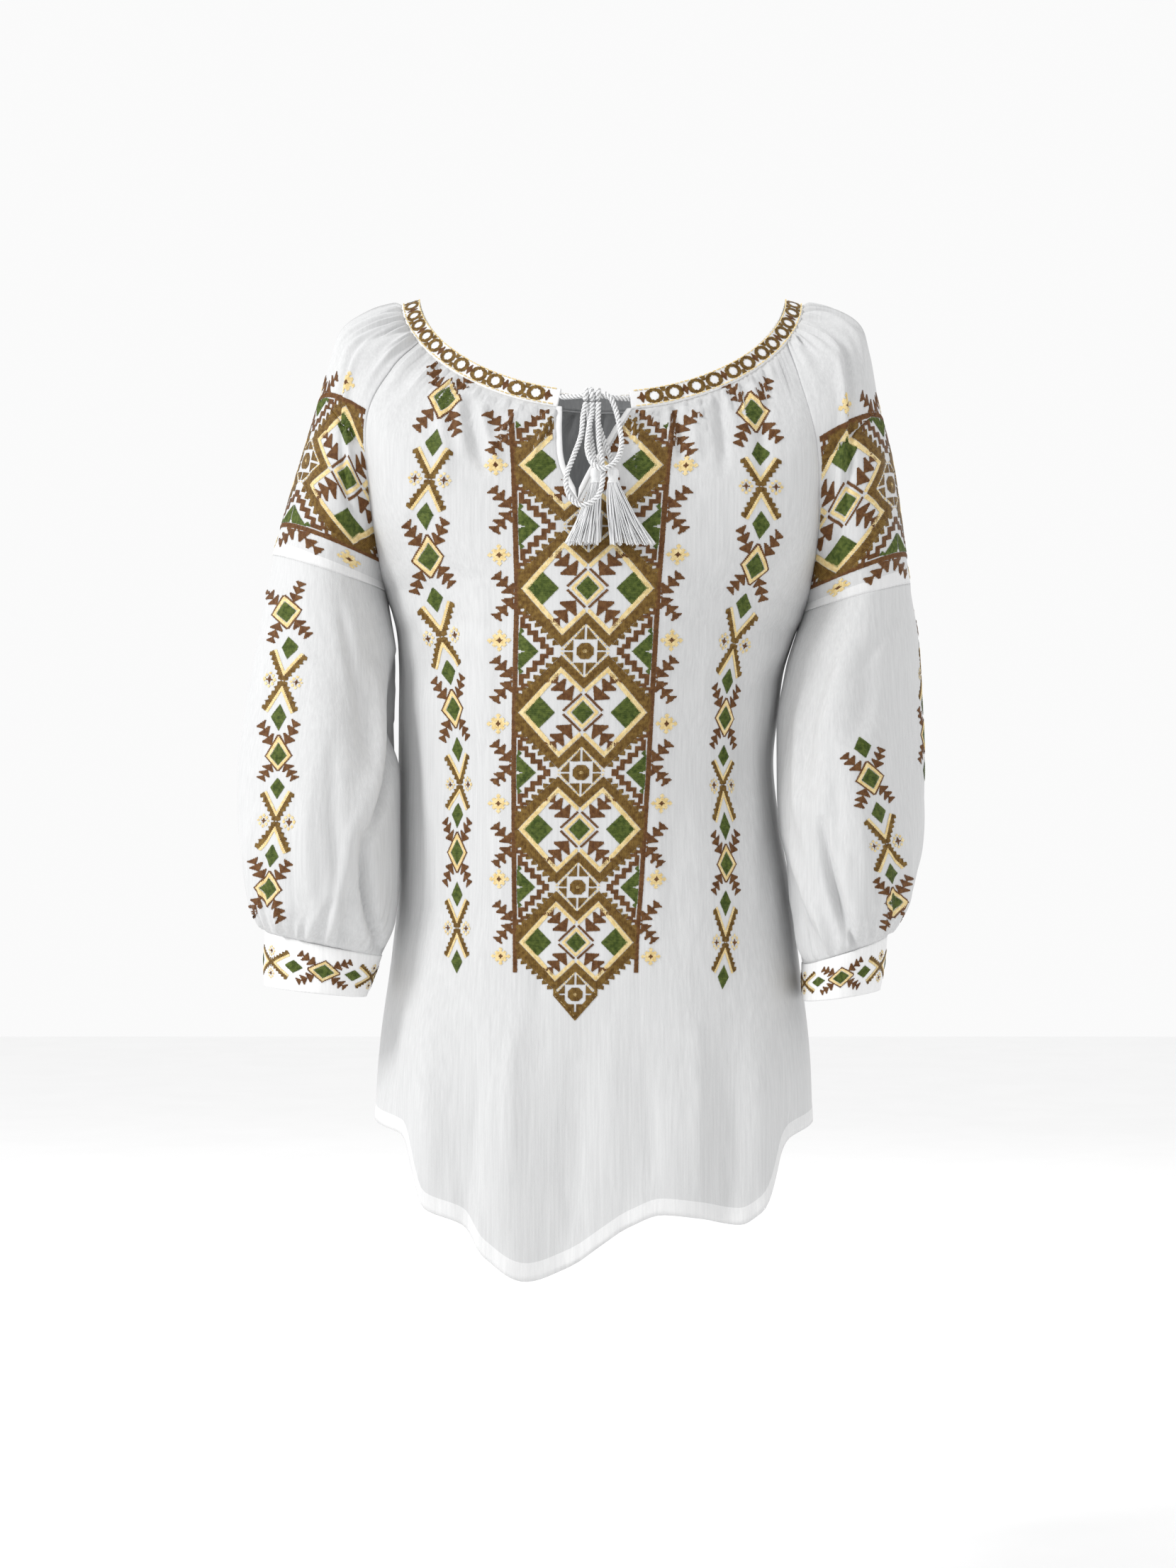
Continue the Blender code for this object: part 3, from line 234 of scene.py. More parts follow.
# The largest folds of the body: face, place across at the top and at the hem, the heights between
# which each grows, its half width, and how far it stands out (or in, where it is below zero)
# Columns: top_across, hem_across, top_height, full_height, half_width, depth
FOLDS = {
    FRONT: (
        (-0.136, -0.136, -0.44, -0.66, 0.017, 0.0060),
        (-0.157, -0.158, -0.48, -0.66, 0.014, -0.0045),
        (0.122, 0.121, -0.44, -0.66, 0.017, 0.0055),
        (0.143, 0.144, -0.48, -0.66, 0.014, -0.0045),
        (-0.072, -0.076, -0.52, -0.66, 0.026, 0.0040),
        (-0.106, -0.108, -0.56, -0.68, 0.018, -0.0035),
        (-0.024, -0.030, -0.54, -0.70, 0.024, -0.0040),
        (0.056, 0.060, -0.48, -0.68, 0.026, 0.0040),
        (0.088, 0.092, -0.56, -0.68, 0.018, -0.0035),
    ),
    BACK: (
        (-0.130, -0.132, -0.42, -0.66, 0.020, 0.0060),
        (0.118, 0.120, -0.42, -0.66, 0.020, 0.0060),
        (-0.050, -0.060, -0.46, -0.68, 0.030, 0.0045),
        (-0.095, -0.098, -0.50, -0.68, 0.022, -0.0040),
        (0.030, 0.040, -0.46, -0.68, 0.030, 0.0045),
        (0.080, 0.084, -0.50, -0.68, 0.022, -0.0040),
    ),
}

# The folds of each lower sleeve: place around (-1 and 1 at the underarm line, -0.5 at the front),
# where down the sleeve each is deepest, its half width around, its half length, and its depth
# Columns: around, down, half_width, half_length, depth
SLEEVE_FOLDS = (
    (-0.66, 0.30, 0.16, 0.34, -0.0060),
    (-0.42, 0.55, 0.18, 0.40, 0.0040),
    (-0.15, 0.60, 0.16, 0.38, -0.0040),
    (0.15, 0.50, 0.18, 0.40, 0.0035),
    (0.45, 0.60, 0.16, 0.36, -0.0050),
    (0.72, 0.45, 0.16, 0.36, 0.0035),
)

# The drawstring: its thickness, the middle of its knot, where it leaves the neckband and sags to
# the knot, and the routes of its loops and tails
CORD_DIAMETER = 0.0044
KNOT_CENTRE = (-0.0085, -0.1140, -0.0885)
CORD_AT_BAND = 0.45
CORD_BEHIND_KNOT = (0.0, 0.0015, 0.0)
CORD_SAG = (0.0, -0.0012, -0.0004)
CORD_END_ROOM = (0.00072, 0.0, 0.0)
CORD_ROUTES = {
    "bow_loop_left": (
        (-0.0135, -0.1168, -0.0951),
        (-0.0155, -0.1195, -0.1060),
        (-0.0170, -0.1270, -0.1215),
        (-0.0228, -0.1370, -0.1385),
        (-0.0281, -0.1440, -0.1545),
        (-0.0262, -0.1475, -0.1690),
        (-0.0168, -0.1485, -0.1766),
        (-0.0052, -0.1480, -0.1710),
        (-0.0008, -0.1465, -0.1588),
        (-0.0008, -0.1415, -0.1445),
        (-0.0032, -0.1320, -0.1280),
        (-0.0040, -0.1220, -0.1110),
        (-0.0036, -0.1168, -0.0951),
    ),
    "bow_loop_right": (
        (0.0010, -0.1192, -0.0880),
        (0.0062, -0.1208, -0.0930),
        (0.0100, -0.1220, -0.1030),
        (0.0128, -0.1270, -0.1165),
        (0.0139, -0.1340, -0.1300),
        (0.0096, -0.1430, -0.1425),
        (0.0009, -0.1492, -0.1489),
        (-0.0075, -0.1480, -0.1457),
        (-0.0122, -0.1400, -0.1335),
        (-0.0110, -0.1275, -0.1165),
        (-0.0088, -0.1180, -0.1035),
        (-0.0086, -0.1168, -0.0951),
    ),
    "tail_left": (
        (-0.0110, -0.1112, -0.0951),
        (-0.0108, -0.1128, -0.1060),
        (-0.0098, -0.1180, -0.1200),
        (-0.0075, -0.1255, -0.1350),
        (-0.0058, -0.1310, -0.1458),
    ),
    "tail_right": (
        (-0.0060, -0.1112, -0.0951),
        (-0.0050, -0.1128, -0.1060),
        (-0.0010, -0.1170, -0.1200),
        (0.0045, -0.1245, -0.1350),
        (0.0074, -0.1310, -0.1458),
    ),
}

# The tassels: where each head's top is, how far its skirt spreads to each side, and the head's
# profile of radius and depth below its top
TASSEL_TOP = {LEFT: (-0.0058, -0.1330, -0.1463), RIGHT: (0.0075, -0.1330, -0.1463)}
TASSEL_SPREAD = {LEFT: (-0.0290, -0.0030), RIGHT: (0.0042, 0.0385)}
TASSEL_PROFILE = ((0.0022, 0.0), (0.0042, 0.0022), (0.0044, 0.0056), (0.0034, 0.0088), (0.0046, 0.0120))
TASSEL_LENGTH = 0.060


def smooth(value):
    """Rises gently from 0 to 1 as value does."""
    part = np.clip(value, 0.0, 1.0)
    return part * part * (3.0 - 2.0 * part)


def read(rows, column, at):
    """A table's column at places along its first column, on a curve that never overshoots."""
    data = np.array(sorted(rows), dtype=float)
    places = data[:, 0]
    values = data[:, column]
    steps = np.diff(places)
    rises = np.diff(values) / steps
    slopes = np.empty(len(places))
    slopes[0] = rises[0]
    slopes[-1] = rises[-1]
    for i in range(1, len(places) - 1):
        product = rises[i - 1] * rises[i]
        slopes[i] = 0.0 if product <= 0.0 else 2.0 * product / (rises[i - 1] + rises[i])
    spot = np.clip(np.asarray(at, dtype=float), places[0], places[-1])
    i = np.clip(np.searchsorted(places, spot) - 1, 0, len(places) - 2)
    step = steps[i]
    t = (spot - places[i]) / step
    start = values[i] * (1 + 2 * t) * (1 - t) ** 2 + step * slopes[i] * t * (1 - t) ** 2
    end = values[i + 1] * t * t * (3 - 2 * t) + step * slopes[i + 1] * t * t * (t - 1)
    return start + end


def torso(name, height):
    """One measure of the body's section at a height."""
    return read(TORSO, TORSO_COLUMNS.split().index(name), height)


def unit(vectors):
    """The vectors at length 1."""
    return vectors / np.maximum(np.linalg.norm(vectors, axis=-1, keepdims=True), 1e-12)


def points_of(x, y, z):
    """An array of points from three arrays."""
    return np.stack(np.broadcast_arrays(x, y, z), axis=-1).astype(float)


class Route:
    """A smooth curve through places, read by the share of its length."""

    def __init__(self, places, samples=24):
        places = np.array(places, dtype=float)
        before = 2 * places[0] - places[1]
        after = 2 * places[-1] - places[-2]
        knots = np.vstack([before, places, after])
        dense = []
        for i in range(1, len(knots) - 2):
            a, b, c, d = knots[i - 1 : i + 3]
            square = 2 * a - 5 * b + 4 * c - d
            cube = 3 * b - a - 3 * c + d
            for t in np.linspace(0, 1, samples, endpoint=False):
                dense.append(0.5 * (2 * b + (c - a) * t + square * t**2 + cube * t**3))
        dense.append(knots[-2])
        self.points = np.array(dense)
        lengths = np.linalg.norm(np.diff(self.points, axis=0), axis=1)
        self.along = np.concatenate([[0.0], np.cumsum(lengths)])
        self.length = self.along[-1]

    def at(self, share):
        reach = np.clip(np.asarray(share, dtype=float), 0, 1) * self.length
        return np.stack([np.interp(reach, self.along, self.points[:, k]) for k in range(3)], axis=-1)


def neckline(angle, below=0.0):
    """A point of the neckline, below the band's top edge by a share of the band's height.

    Angle 0 is the right shoulder peak, 90 the middle of the front and 270 the middle of the back.
    """
    turn = np.radians(np.asarray(angle, dtype=float))
    across = np.cos(turn)
    forward = np.sin(turn)
    size = np.abs(forward)
    front = forward >= 0
    depth = np.where(front, -NECK_DEPTH[FRONT], NECK_DEPTH[BACK])
    drop = np.where(front, NECK_DROP[FRONT], NECK_DROP[BACK])
    top = points_of(NECK_HALF_WIDTH * across, depth * size, -drop * size**NECK_DROP_POWER)
    lean = np.where(front, -CHEST_SLOPE, CHEST_SLOPE)
    down = points_of(across, lean * size, -SHOULDER_SLOPE * np.abs(across) - size)
    return top + below * BAND_HEIGHT * unit(down)


def panel_angle(face, across):
    """The place round the neckline of a panel's top edge."""
    span = 90.0 - RAGLAN_ANGLE
    return 90.0 - span * across if face == FRONT else 270.0 + span * across


def sleeve_angle(side, around):
    """The place round the neckline of an upper sleeve's top edge, front to back."""
    return -RAGLAN_ANGLE * around if side == RIGHT else 180.0 + RAGLAN_ANGLE * around


def underarm(side):
    """The point where both panels and both sleeve pieces meet."""
    height = UNDERARM_HEIGHT[side]
    return np.array([torso("left" if side == LEFT else "right", height), torso("side", height), height])


def raglan_route(face, side):
    """A raglan seam, from the neckband to the underarm."""
    start = neckline(panel_angle(face, float(side)), 1.0)
    return Route([start, *RAGLAN[face, side], underarm(side)])


def shoulder_route(side):
    """The top line of an upper sleeve."""
    return Route([neckline(sleeve_angle(side, 0.0), 1.0), *SHOULDER_LINE[side]])


RAGLAN_ROUTES = {(face, side): raglan_route(face, side) for face in (FRONT, BACK) for side in (LEFT, RIGHT)}
SHOULDER_ROUTES = {side: shoulder_route(side) for side in (LEFT, RIGHT)}


def arch(across, square):
    """How far sideways and how far out a section's point is, across from -1 to 1."""
    turn = across * math.pi / 2
    power = 2.0 / square
    sideways = np.sign(np.sin(turn)) * np.abs(np.sin(turn)) ** power
    outwards = np.abs(np.cos(turn)) ** power
    return sideways, outwards


def panel_base(face, across, down):
    """A point of the front or back panel: down is 0 at the neck, 1 at the underarm, 2 at the hem."""
    across, down = np.broadcast_arrays(np.asarray(across, dtype=float), np.asarray(down, dtype=float))
    depth_name = "front" if face == FRONT else "back"
    upper = np.clip(down, 0, 1)
    left = RAGLAN_ROUTES[face, LEFT].at(upper)
    right = RAGLAN_ROUTES[face, RIGHT].at(upper)
    middle = (left + right) / 2
    half = (right - left) / 2
    neck_middle = neckline(panel_angle(face, 0.0), 1.0)[2]
    underarm_middle = (UNDERARM_HEIGHT[LEFT] + UNDERARM_HEIGHT[RIGHT]) / 2
    centre_height = neck_middle + (underarm_middle - neck_middle) * upper
    sideways, outwards = arch(across, 2.0)
    centre = points_of(middle[..., 0], torso(depth_name, centre_height), centre_height)
    high = middle + half * sideways[..., None] + (centre - middle) * outwards[..., None]
    to_neck = neckline(panel_angle(face, across), 1.0) - panel_arch_top(face, across)
    high = high + to_neck * (1 - smooth(upper / PANEL_NECK_FIT))[..., None]

    lower = np.clip(down - 1, 0, 1)
    start_height = (1 - across) / 2 * UNDERARM_HEIGHT[LEFT] + (1 + across) / 2 * UNDERARM_HEIGHT[RIGHT]
    hem_left = torso("left", HEM_REACH)
    hem_right = torso("right", HEM_REACH)
    hem_sideways, _ = arch(across, HEM_SQUARE)
    hem_x = (hem_left + hem_right) / 2 + (hem_right - hem_left) / 2 * hem_sideways
    lowest = read(HEM[face], 1, hem_x)
    height = start_height + (lowest - start_height) * lower
    sideways, outwards = arch(across, torso("square", height))
    x = (torso("left", height) + torso("right", height)) / 2
    x = x + (torso("right", height) - torso("left", height)) / 2 * sideways
    side_y = torso("side", height)
    y = side_y + (torso(depth_name, height) - side_y) * outwards
    low = points_of(x, y, height)
    return np.where((down > 1)[..., None], low, high)


def panel_arch_top(face, across):
    """The plain arch between the tops of a panel's two raglan seams."""
    left = RAGLAN_ROUTES[face, LEFT].at(0.0)
    right = RAGLAN_ROUTES[face, RIGHT].at(0.0)
    middle = (left + right) / 2
    half = (right - left) / 2
    neck = neckline(panel_angle(face, 0.0), 1.0)
    centre = np.array([middle[0], torso("front" if face == FRONT else "back", neck[2]), neck[2]])
    sideways, outwards = arch(across, 2.0)
    return middle + half * sideways[..., None] + (centre - middle) * outwards[..., None]


def normals_of(place, u, v, sign):
    """The outward normals of a surface given by place(u, v)."""
    step = 1e-3
    du = place(np.clip(u + step, -1, 1), v) - place(np.clip(u - step, -1, 1), v)
    dv = place(u, np.maximum(v + step, 0)) - place(u, np.maximum(v - step, 0))
    return unit(np.cross(du, dv)) * sign


def gathers(along, distance, count, depth, reach):
    """Ridges that rise from a gathered seam, uneven in depth and length; along runs 0 to 1."""
    place = np.clip(along * count, 0, count - 1e-9)
    which = np.floor(place)
    strength = 0.68 + 0.32 * np.sin(2.4 * which + 1.1)
    length = reach * (0.75 + 0.35 * np.sin(1.7 * which + 0.4))
    ridge = 0.5 - 0.5 * np.cos(2 * math.pi * place)
    rise = smooth(distance / GATHER_RISE)
    fall = 1 - smooth((distance - GATHER_RISE) / length)
    return depth * strength * ridge * rise * fall


def fold_relief(face, points):
    """How far the body's largest folds move its points out."""
    across = points[..., 0]
    height = points[..., 2]
    relief = np.zeros(across.shape)
    for top_across, hem_across, top_height, full_height, half_width, depth in FOLDS[face]:
        grown = smooth((top_height - height) / (top_height - full_height))
        line = top_across + (hem_across - top_across) * grown
        relief += depth * grown * np.exp(-(((across - line) / half_width) ** 2) * FOLD_SHARPNESS)
    return relief


def upper_sleeve_base(side, around, down):
    """A point of an upper sleeve: around is -1 at the front seam, 0 on top and 1 at the back seam."""
    around, down = np.broadcast_arrays(np.asarray(around, dtype=float), np.asarray(down, dtype=float))
    front = RAGLAN_ROUTES[FRONT, side].at(down)
    back = RAGLAN_ROUTES[BACK, side].at(down)
    top = SHOULDER_ROUTES[side].at(down)
    middle = (front + back) / 2
    span = np.linalg.norm(top - middle, axis=-1)
    out = unit(top - middle)
    seam_half = np.linalg.norm(back - front, axis=-1) / 2
    half_depth = np.maximum(seam_half, read(UPPER_SLEEVE_DEPTH, 1, down))
    reach = math.pi - np.arcsin(np.clip(seam_half / half_depth, 0, 1))
    radius = span / (1 - np.cos(reach))

    def ring(share):
        turn = share * reach
        inwards = radius * (1 - np.cos(turn))
        sideways = points_of(0 * turn, half_depth * np.sin(turn), 0 * turn)
        return top - out * inwards[..., None] + sideways

    point = ring(around)
    front_error = front - ring(np.full(around.shape, -1.0))
    back_error = back - ring(np.full(around.shape, 1.0))
    point = point + front_error * (np.maximum(-around, 0) ** 3)[..., None]
    point = point + back_error * (np.maximum(around, 0) ** 3)[..., None]
    return point


def sleeve_section(side, down):
    """The middle, half sizes and turns of a lower sleeve's section, down from 0 to 1."""
    top = SHOULDER_ROUTES[side].at(1.0)
    inner = underarm(side)
    middle = (top + inner) / 2
    tilt = math.degrees(math.atan2(top[2] - inner[2], abs(top[0] - inner[0])))
    half_width = float(np.linalg.norm(top - inner)) / 2
    first = (0.0, middle[0], middle[1], middle[2], half_width, UPPER_SLEEVE_DEPTH[-1][1], tilt, 0.0)
    rows = (first, *LOWER_SLEEVE[side])
    return [read(rows, column, down) for column in range(1, 8)]


def ring_point(side, around, section):
    """A point round a sleeve's section: 0 is its outside, -0.5 its front and 1 the underarm line."""
    x, y, z, half_width, half_depth, tilt, yaw = section
    tilt = np.radians(tilt)
    yaw = np.radians(yaw)
    turn = around * math.pi
    outwards = half_width * np.cos(turn)
    backwards = half_depth * np.sin(turn)
    level = outwards * np.cos(tilt) * np.cos(yaw) - backwards * np.sin(yaw)
    depth = outwards * np.cos(tilt) * np.sin(yaw) + backwards * np.cos(yaw)
    rise = outwards * np.sin(tilt)
    return points_of(x + side * level, y + depth, z + rise)


def lower_sleeve_base(side, around, down):
    """A point of a plain lower sleeve, which starts on the last ring of the upper one."""
    around, down = np.broadcast_arrays(np.asarray(around, dtype=float), np.asarray(down, dtype=float))
    point = ring_point(side, around, sleeve_section(side, down))
    seam = upper_sleeve_base(side, around, np.ones(around.shape))
    plain = ring_point(side, around, sleeve_section(side, np.zeros(around.shape)))
    return point + (seam - plain) * (1 - smooth(down / SLEEVE_SEAM_FIT))[..., None]


def cuff_place(side, around, down):
    """A point of a cuff: down is 0 at the sleeve and 1 at the open end."""
    around, down = np.broadcast_arrays(np.asarray(around, dtype=float), np.asarray(down, dtype=float))
    top = ring_point(side, around, LOWER_SLEEVE[side][-1][1:])
    end = ring_point(side, around, CUFF_END[side][1:])
    return top + (end - top) * down[..., None]


# The camera: level, opposite the front, as the photo was taken
CAMERA_AT = (-0.0117, -2.6, -0.388)
FRAME_HEIGHT = 1.261
PHOTO_SIZE = (1659, 2212)
PIXEL = FRAME_HEIGHT / PHOTO_SIZE[1]

# The floor and the light. Each lamp has its place, size and power
FLOOR_HEIGHT = -1.06
FLOOR_HALF = 6.0
FLOOR_COLOUR = (0.93, 0.93, 0.93)
SKY = (1.0, 1.0, 1.0)
SKY_STRENGTH = 0.96
LAMPS = {"key": ((-2.7, -1.5, 1.6), 0.9, 70.0), "back": ((0.6, 2.2, 1.2), 1.8, 14.0)}
LAMP_AIM = (0.0, 0.0, -0.35)
SAMPLES = 160

# The cloths' names in the file, their two tones and how crinkled they are
CLOTHS = {
    "gauze": ("gauze_cloth", (0.55, 0.553, 0.556), (0.625, 0.628, 0.63), 1.0),
    "firm": ("firm_cloth", (0.74, 0.74, 0.74), (0.82, 0.82, 0.82), 0.35),
    # groove: painted shade for the grooves between the cord's strands
    "groove_painted_shade": ("cord_groove_painted_shade", (0.34, 0.34, 0.345), (0.42, 0.42, 0.42), 0.25),
    # inside: painted shade on the inner faces of the back and the neckband; the cloth there is the same white
    # gauze
    "inside": ("gauze_inside_painted_shade", (0.25, 0.255, 0.26), (0.31, 0.315, 0.32), 0.6),
    "hem": ("hem_cloth", (0.67, 0.672, 0.675), (0.74, 0.74, 0.74), 0.8),
    "cord": ("cord_cotton", (0.74, 0.75, 0.76), (0.85, 0.85, 0.85), 0.25),
}

# Threads: the pitch between two, how far they stand out, how far apart their cross-sections are,
# the share of the pitch that half a thread takes, and how uneven their ends and heights are
PITCH = 0.00092
NECKBAND_PITCH = 0.00075
THREAD_RISE = 0.00042
THREAD_LIFT = 0.00030
THREAD_STEP = 0.0036
THREAD_MOST_STEPS = 40
THREAD_HALF = 0.49
THREAD_END_SHIFTS = (-0.10, 0.22)
THREAD_END_RISE = 0.30
THREAD_RISES = (0.85, 1.12)
SHORTEST_THREAD = 0.45
THREAD_COLOURS = {
    "bronze": ((0.105, 0.052, 0.010), (0.225, 0.135, 0.032)),
    "rust": ((0.098, 0.038, 0.012), (0.172, 0.080, 0.027)),
    "green": ((0.038, 0.062, 0.008), (0.115, 0.150, 0.030)),
    "cream": ((0.70, 0.52, 0.22), (0.84, 0.70, 0.40)),
}
THREAD_ORDER = tuple(THREAD_COLOURS)
SEED = 7
RANDOM = np.random.default_rng(SEED)


def from_photo(px, py, y):
    """The place in the front view, x and z, of a pixel of the photo at a depth."""
    scale = PIXEL * (y - CAMERA_AT[1]) / -CAMERA_AT[1]
    return CAMERA_AT[0] + (px - PHOTO_SIZE[0] / 2) * scale, CAMERA_AT[2] + (PHOTO_SIZE[1] / 2 - py) * scale


def placed(name, data):
    """A new object of the scene."""
    made = bpy.data.objects.new(name, data)
    bpy.context.scene.collection.objects.link(made)
    return made


def set_camera():
    """The camera, level and upright, at the photo's angle and distance."""
    data = bpy.data.cameras.new("camera")
    data.sensor_fit = "VERTICAL"
    data.angle = 2 * math.atan(FRAME_HEIGHT / 2 / -CAMERA_AT[1])
    made = placed("camera", data)
    made.location = CAMERA_AT
    made.rotation_euler = (math.pi / 2, 0.0, 0.0)
    scene = bpy.context.scene
    scene.camera = made
    scene.render.resolution_x, scene.render.resolution_y = PHOTO_SIZE


def set_light():
    """A pale floor, a bright even sky and two soft lamps."""
    scene = bpy.context.scene
    world = bpy.data.worlds.new("sky")
    scene.world = world
    world.use_nodes = True
    back = world.node_tree.nodes["Background"]
    back.inputs["Color"].default_value = (*SKY, 1.0)
    back.inputs["Strength"].default_value = SKY_STRENGTH
    for name, (place, size, power) in LAMPS.items():
        data = bpy.data.lights.new(name, "AREA")
        data.size = size
        data.energy = power
        lamp = placed(name, data)
        lamp.location = place
        aim = np.array(LAMP_AIM) - np.array(place)
        lean = math.atan2(math.hypot(aim[0], aim[1]), -aim[2])
        lamp.rotation_euler = (lean, 0.0, math.atan2(-aim[0], aim[1]))
    corners = [(x, y, FLOOR_HEIGHT) for y in (-FLOOR_HALF, FLOOR_HALF) for x in (-FLOOR_HALF, FLOOR_HALF)]
    floor = grid_object("floor", grid_faces(2, 2, False), corners)
    floor.data.materials.append(plain_material("floor", FLOOR_COLOUR, 0.9))
    scene.render.engine = "CYCLES"
    scene.cycles.samples = SAMPLES
    scene.cycles.use_denoising = True
    scene.view_settings.view_transform = "Standard"


def grid_faces(rows, columns, closed):
    """The faces of a grid of points, row by row; closed joins the last column to the first."""
    numbers = np.arange(rows * columns).reshape(rows, columns)
    if closed:
        numbers = np.hstack([numbers, numbers[:, :1]])
    above, below = numbers[:-1], numbers[1:]
    corners = (above[:, :-1], above[:, 1:], below[:, 1:], below[:, :-1])
    return np.stack(corners, axis=-1).reshape(-1, 4)


def grid_object(name, faces, points, caps=()):
    """A mesh object from points and four-sided faces, and any end caps."""
    mesh = bpy.data.meshes.new(name)
    mesh.from_pydata(np.asarray(points).reshape(-1, 3).tolist(), [], [*np.asarray(faces).tolist(), *caps])
    mesh.update()
    mesh.shade_smooth()
    return placed(name, mesh)


class Nodes:
    """A short way to build a material's nodes."""

    def __init__(self, name, roughness):
        self.material = bpy.data.materials.new(name)
        self.material.use_nodes = True
        self.tree = self.material.node_tree
        self.shader = self.tree.nodes["Principled BSDF"]
        self.shader.inputs["Roughness"].default_value = roughness
        self.place = self.add("ShaderNodeTexCoord").outputs["Object"]

    def add(self, kind, **settings):
        node = self.tree.nodes.new(kind)
        for key, value in settings.items():
            setattr(node, key, value)
        return node

    def link(self, source, target):
        self.tree.links.new(source, target)

    def noise(self, stretch, detail=2.0, rough=0.5):
        """Noise whose scale differs by axis."""
        mapping = self.add("ShaderNodeMapping")
        mapping.inputs["Scale"].default_value = stretch
        self.link(self.place, mapping.inputs["Vector"])
        node = self.add("ShaderNodeTexNoise")
        node.inputs["Scale"].default_value = 1.0
        node.inputs["Detail"].default_value = detail
        node.inputs["Roughness"].default_value = rough
        self.link(mapping.outputs["Vector"], node.inputs["Vector"])
        return node.outputs["Fac"]

    def ramp(self, factor, stops):
        """A colour ramp of (place, colour) stops."""
        node = self.add("ShaderNodeValToRGB")
        ramp = node.color_ramp
        for i, (place, colour) in enumerate(stops):
            stop = ramp.elements[i] if i < 2 else ramp.elements.new(place)
            stop.position = place
            stop.color = (*colour, 1.0)
        self.link(factor, node.inputs["Fac"])
        return node.outputs["Color"]

    def bump(self, height, distance, before=None):
        """A bump of a height, on top of an earlier one."""
        node = self.add("ShaderNodeBump")
        node.inputs["Strength"].default_value = 1.0
        node.inputs["Distance"].default_value = distance
        self.link(height, node.inputs["Height"])
        if before is not None:
            self.link(before, node.inputs["Normal"])
        return node.outputs["Normal"]

    def finish(self, colour, normal):
        self.link(colour, self.shader.inputs["Base Color"])
        self.link(normal, self.shader.inputs["Normal"])
        return self.material


def plain_material(name, colour, roughness):
    """One colour with a faint grain."""
    nodes = Nodes(name, roughness)
    grain = nodes.noise((9.0, 9.0, 9.0))
    colour_out = nodes.ramp(grain, ((0.3, [c * 0.985 for c in colour]), (0.7, colour)))
    return nodes.finish(colour_out, nodes.bump(grain, 0.0001))


def gauze_material(name, dark, light, crinkle):
    """White cotton gauze: slubs that run up and down, a crinkle and a fine weave."""
    nodes = Nodes(name, 0.92)
    slub = nodes.noise((640.0, 640.0, 18.0), 3.0, 0.6)
    crease = nodes.noise((62.0, 62.0, 9.0), 2.0, 0.5)
    weave = nodes.noise((1500.0, 1500.0, 1100.0), 1.0, 0.5)
    colour = nodes.ramp(slub, ((0.30, dark), (0.72, light)))
    normal = nodes.bump(crease, 0.0016 * crinkle)
    normal = nodes.bump(slub, 0.00016 * crinkle, normal)
    normal = nodes.bump(weave, 0.00010, normal)
    nodes.shader.inputs["Sheen Weight"].default_value = 0.12
    nodes.shader.inputs["Sheen Roughness"].default_value = 0.6
    return nodes.finish(colour, normal)


def thread_material(name):
    """Stranded cotton in two close tones."""
    dark, light = THREAD_COLOURS[name]
    nodes = Nodes("thread_" + name, 0.55)
    tone = nodes.noise((330.0, 330.0, 330.0), 2.0, 0.6)
    strand = nodes.noise((2200.0, 2200.0, 2200.0), 1.0, 0.5)
    nodes.shader.inputs["Specular IOR Level"].default_value = 0.2
    return nodes.finish(nodes.ramp(tone, ((0.34, dark), (0.68, light))), nodes.bump(strand, 0.00012))


MATERIALS = {}


def material_of(name):
    """A material, made once."""
    if name not in MATERIALS:
        made = thread_material(name) if name in THREAD_COLOURS else gauze_material(*CLOTHS[name])
        MATERIALS[name] = made
    return MATERIALS[name]


def dress(made, material_names, slot_name, *nodes):
    """A piece's materials, its body and the solids that it stands for; its slot name is not used."""
    for name in material_names:
        made.data.materials.append(material_of(name))
    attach(made, "root")
    if nodes:
        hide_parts(*nodes)
    return made


class Sheet:
    """A surface in two measures, u and v, with its outward side, its relief and its inverse."""

    def __init__(self, base, sign, relief, top=1.0):
        self.base = base
        self.sign = sign
        self.relief = relief
        self.top = top

    def normal(self, u, v):
        return normals_of(self.base, u, np.clip(v, 1e-3, self.top - 1e-3), self.sign)

    def at(self, u, v, lift=0.0):
        """The outer face of the cloth, or a place at some height above it."""
        u, v = np.broadcast_arrays(np.asarray(u, dtype=float), np.asarray(v, dtype=float))
        point = self.base(u, v)
        rise = self.relief(u, v, point) + lift + WALL / 2
        return point + self.normal(u, v) * np.asarray(rise)[..., None]

    def find(self, x, z, u, v, rounds=9):
        """The measures of the place that is at x and z in the front view, from a first guess."""
        u = np.full(x.shape, float(u)) if np.ndim(u) == 0 else u.copy()
        v = np.full(x.shape, float(v)) if np.ndim(v) == 0 else v.copy()
        step = 2e-3
        for _ in range(rounds):
            here = self.base(u, v)
            by_u = (self.base(u + step, v) - here) / step
            by_v = (self.base(u, np.minimum(v + step, self.top)) - here) / step
            miss_x = x - here[..., 0]
            miss_z = z - here[..., 2]
            size = by_u[..., 0] * by_v[..., 2] - by_u[..., 2] * by_v[..., 0]
            size = np.where(np.abs(size) < 1e-7, 1e-7, size)
            go_u = (miss_x * by_v[..., 2] - miss_z * by_v[..., 0]) / size
            go_v = (by_u[..., 0] * miss_z - by_u[..., 2] * miss_x) / size
            u = np.clip(u + np.clip(go_u, -0.25, 0.25), -0.999, 0.999)
            v = np.clip(v + np.clip(go_v, -0.35, 0.35), 0.0, self.top - 1e-3)
        return u, v


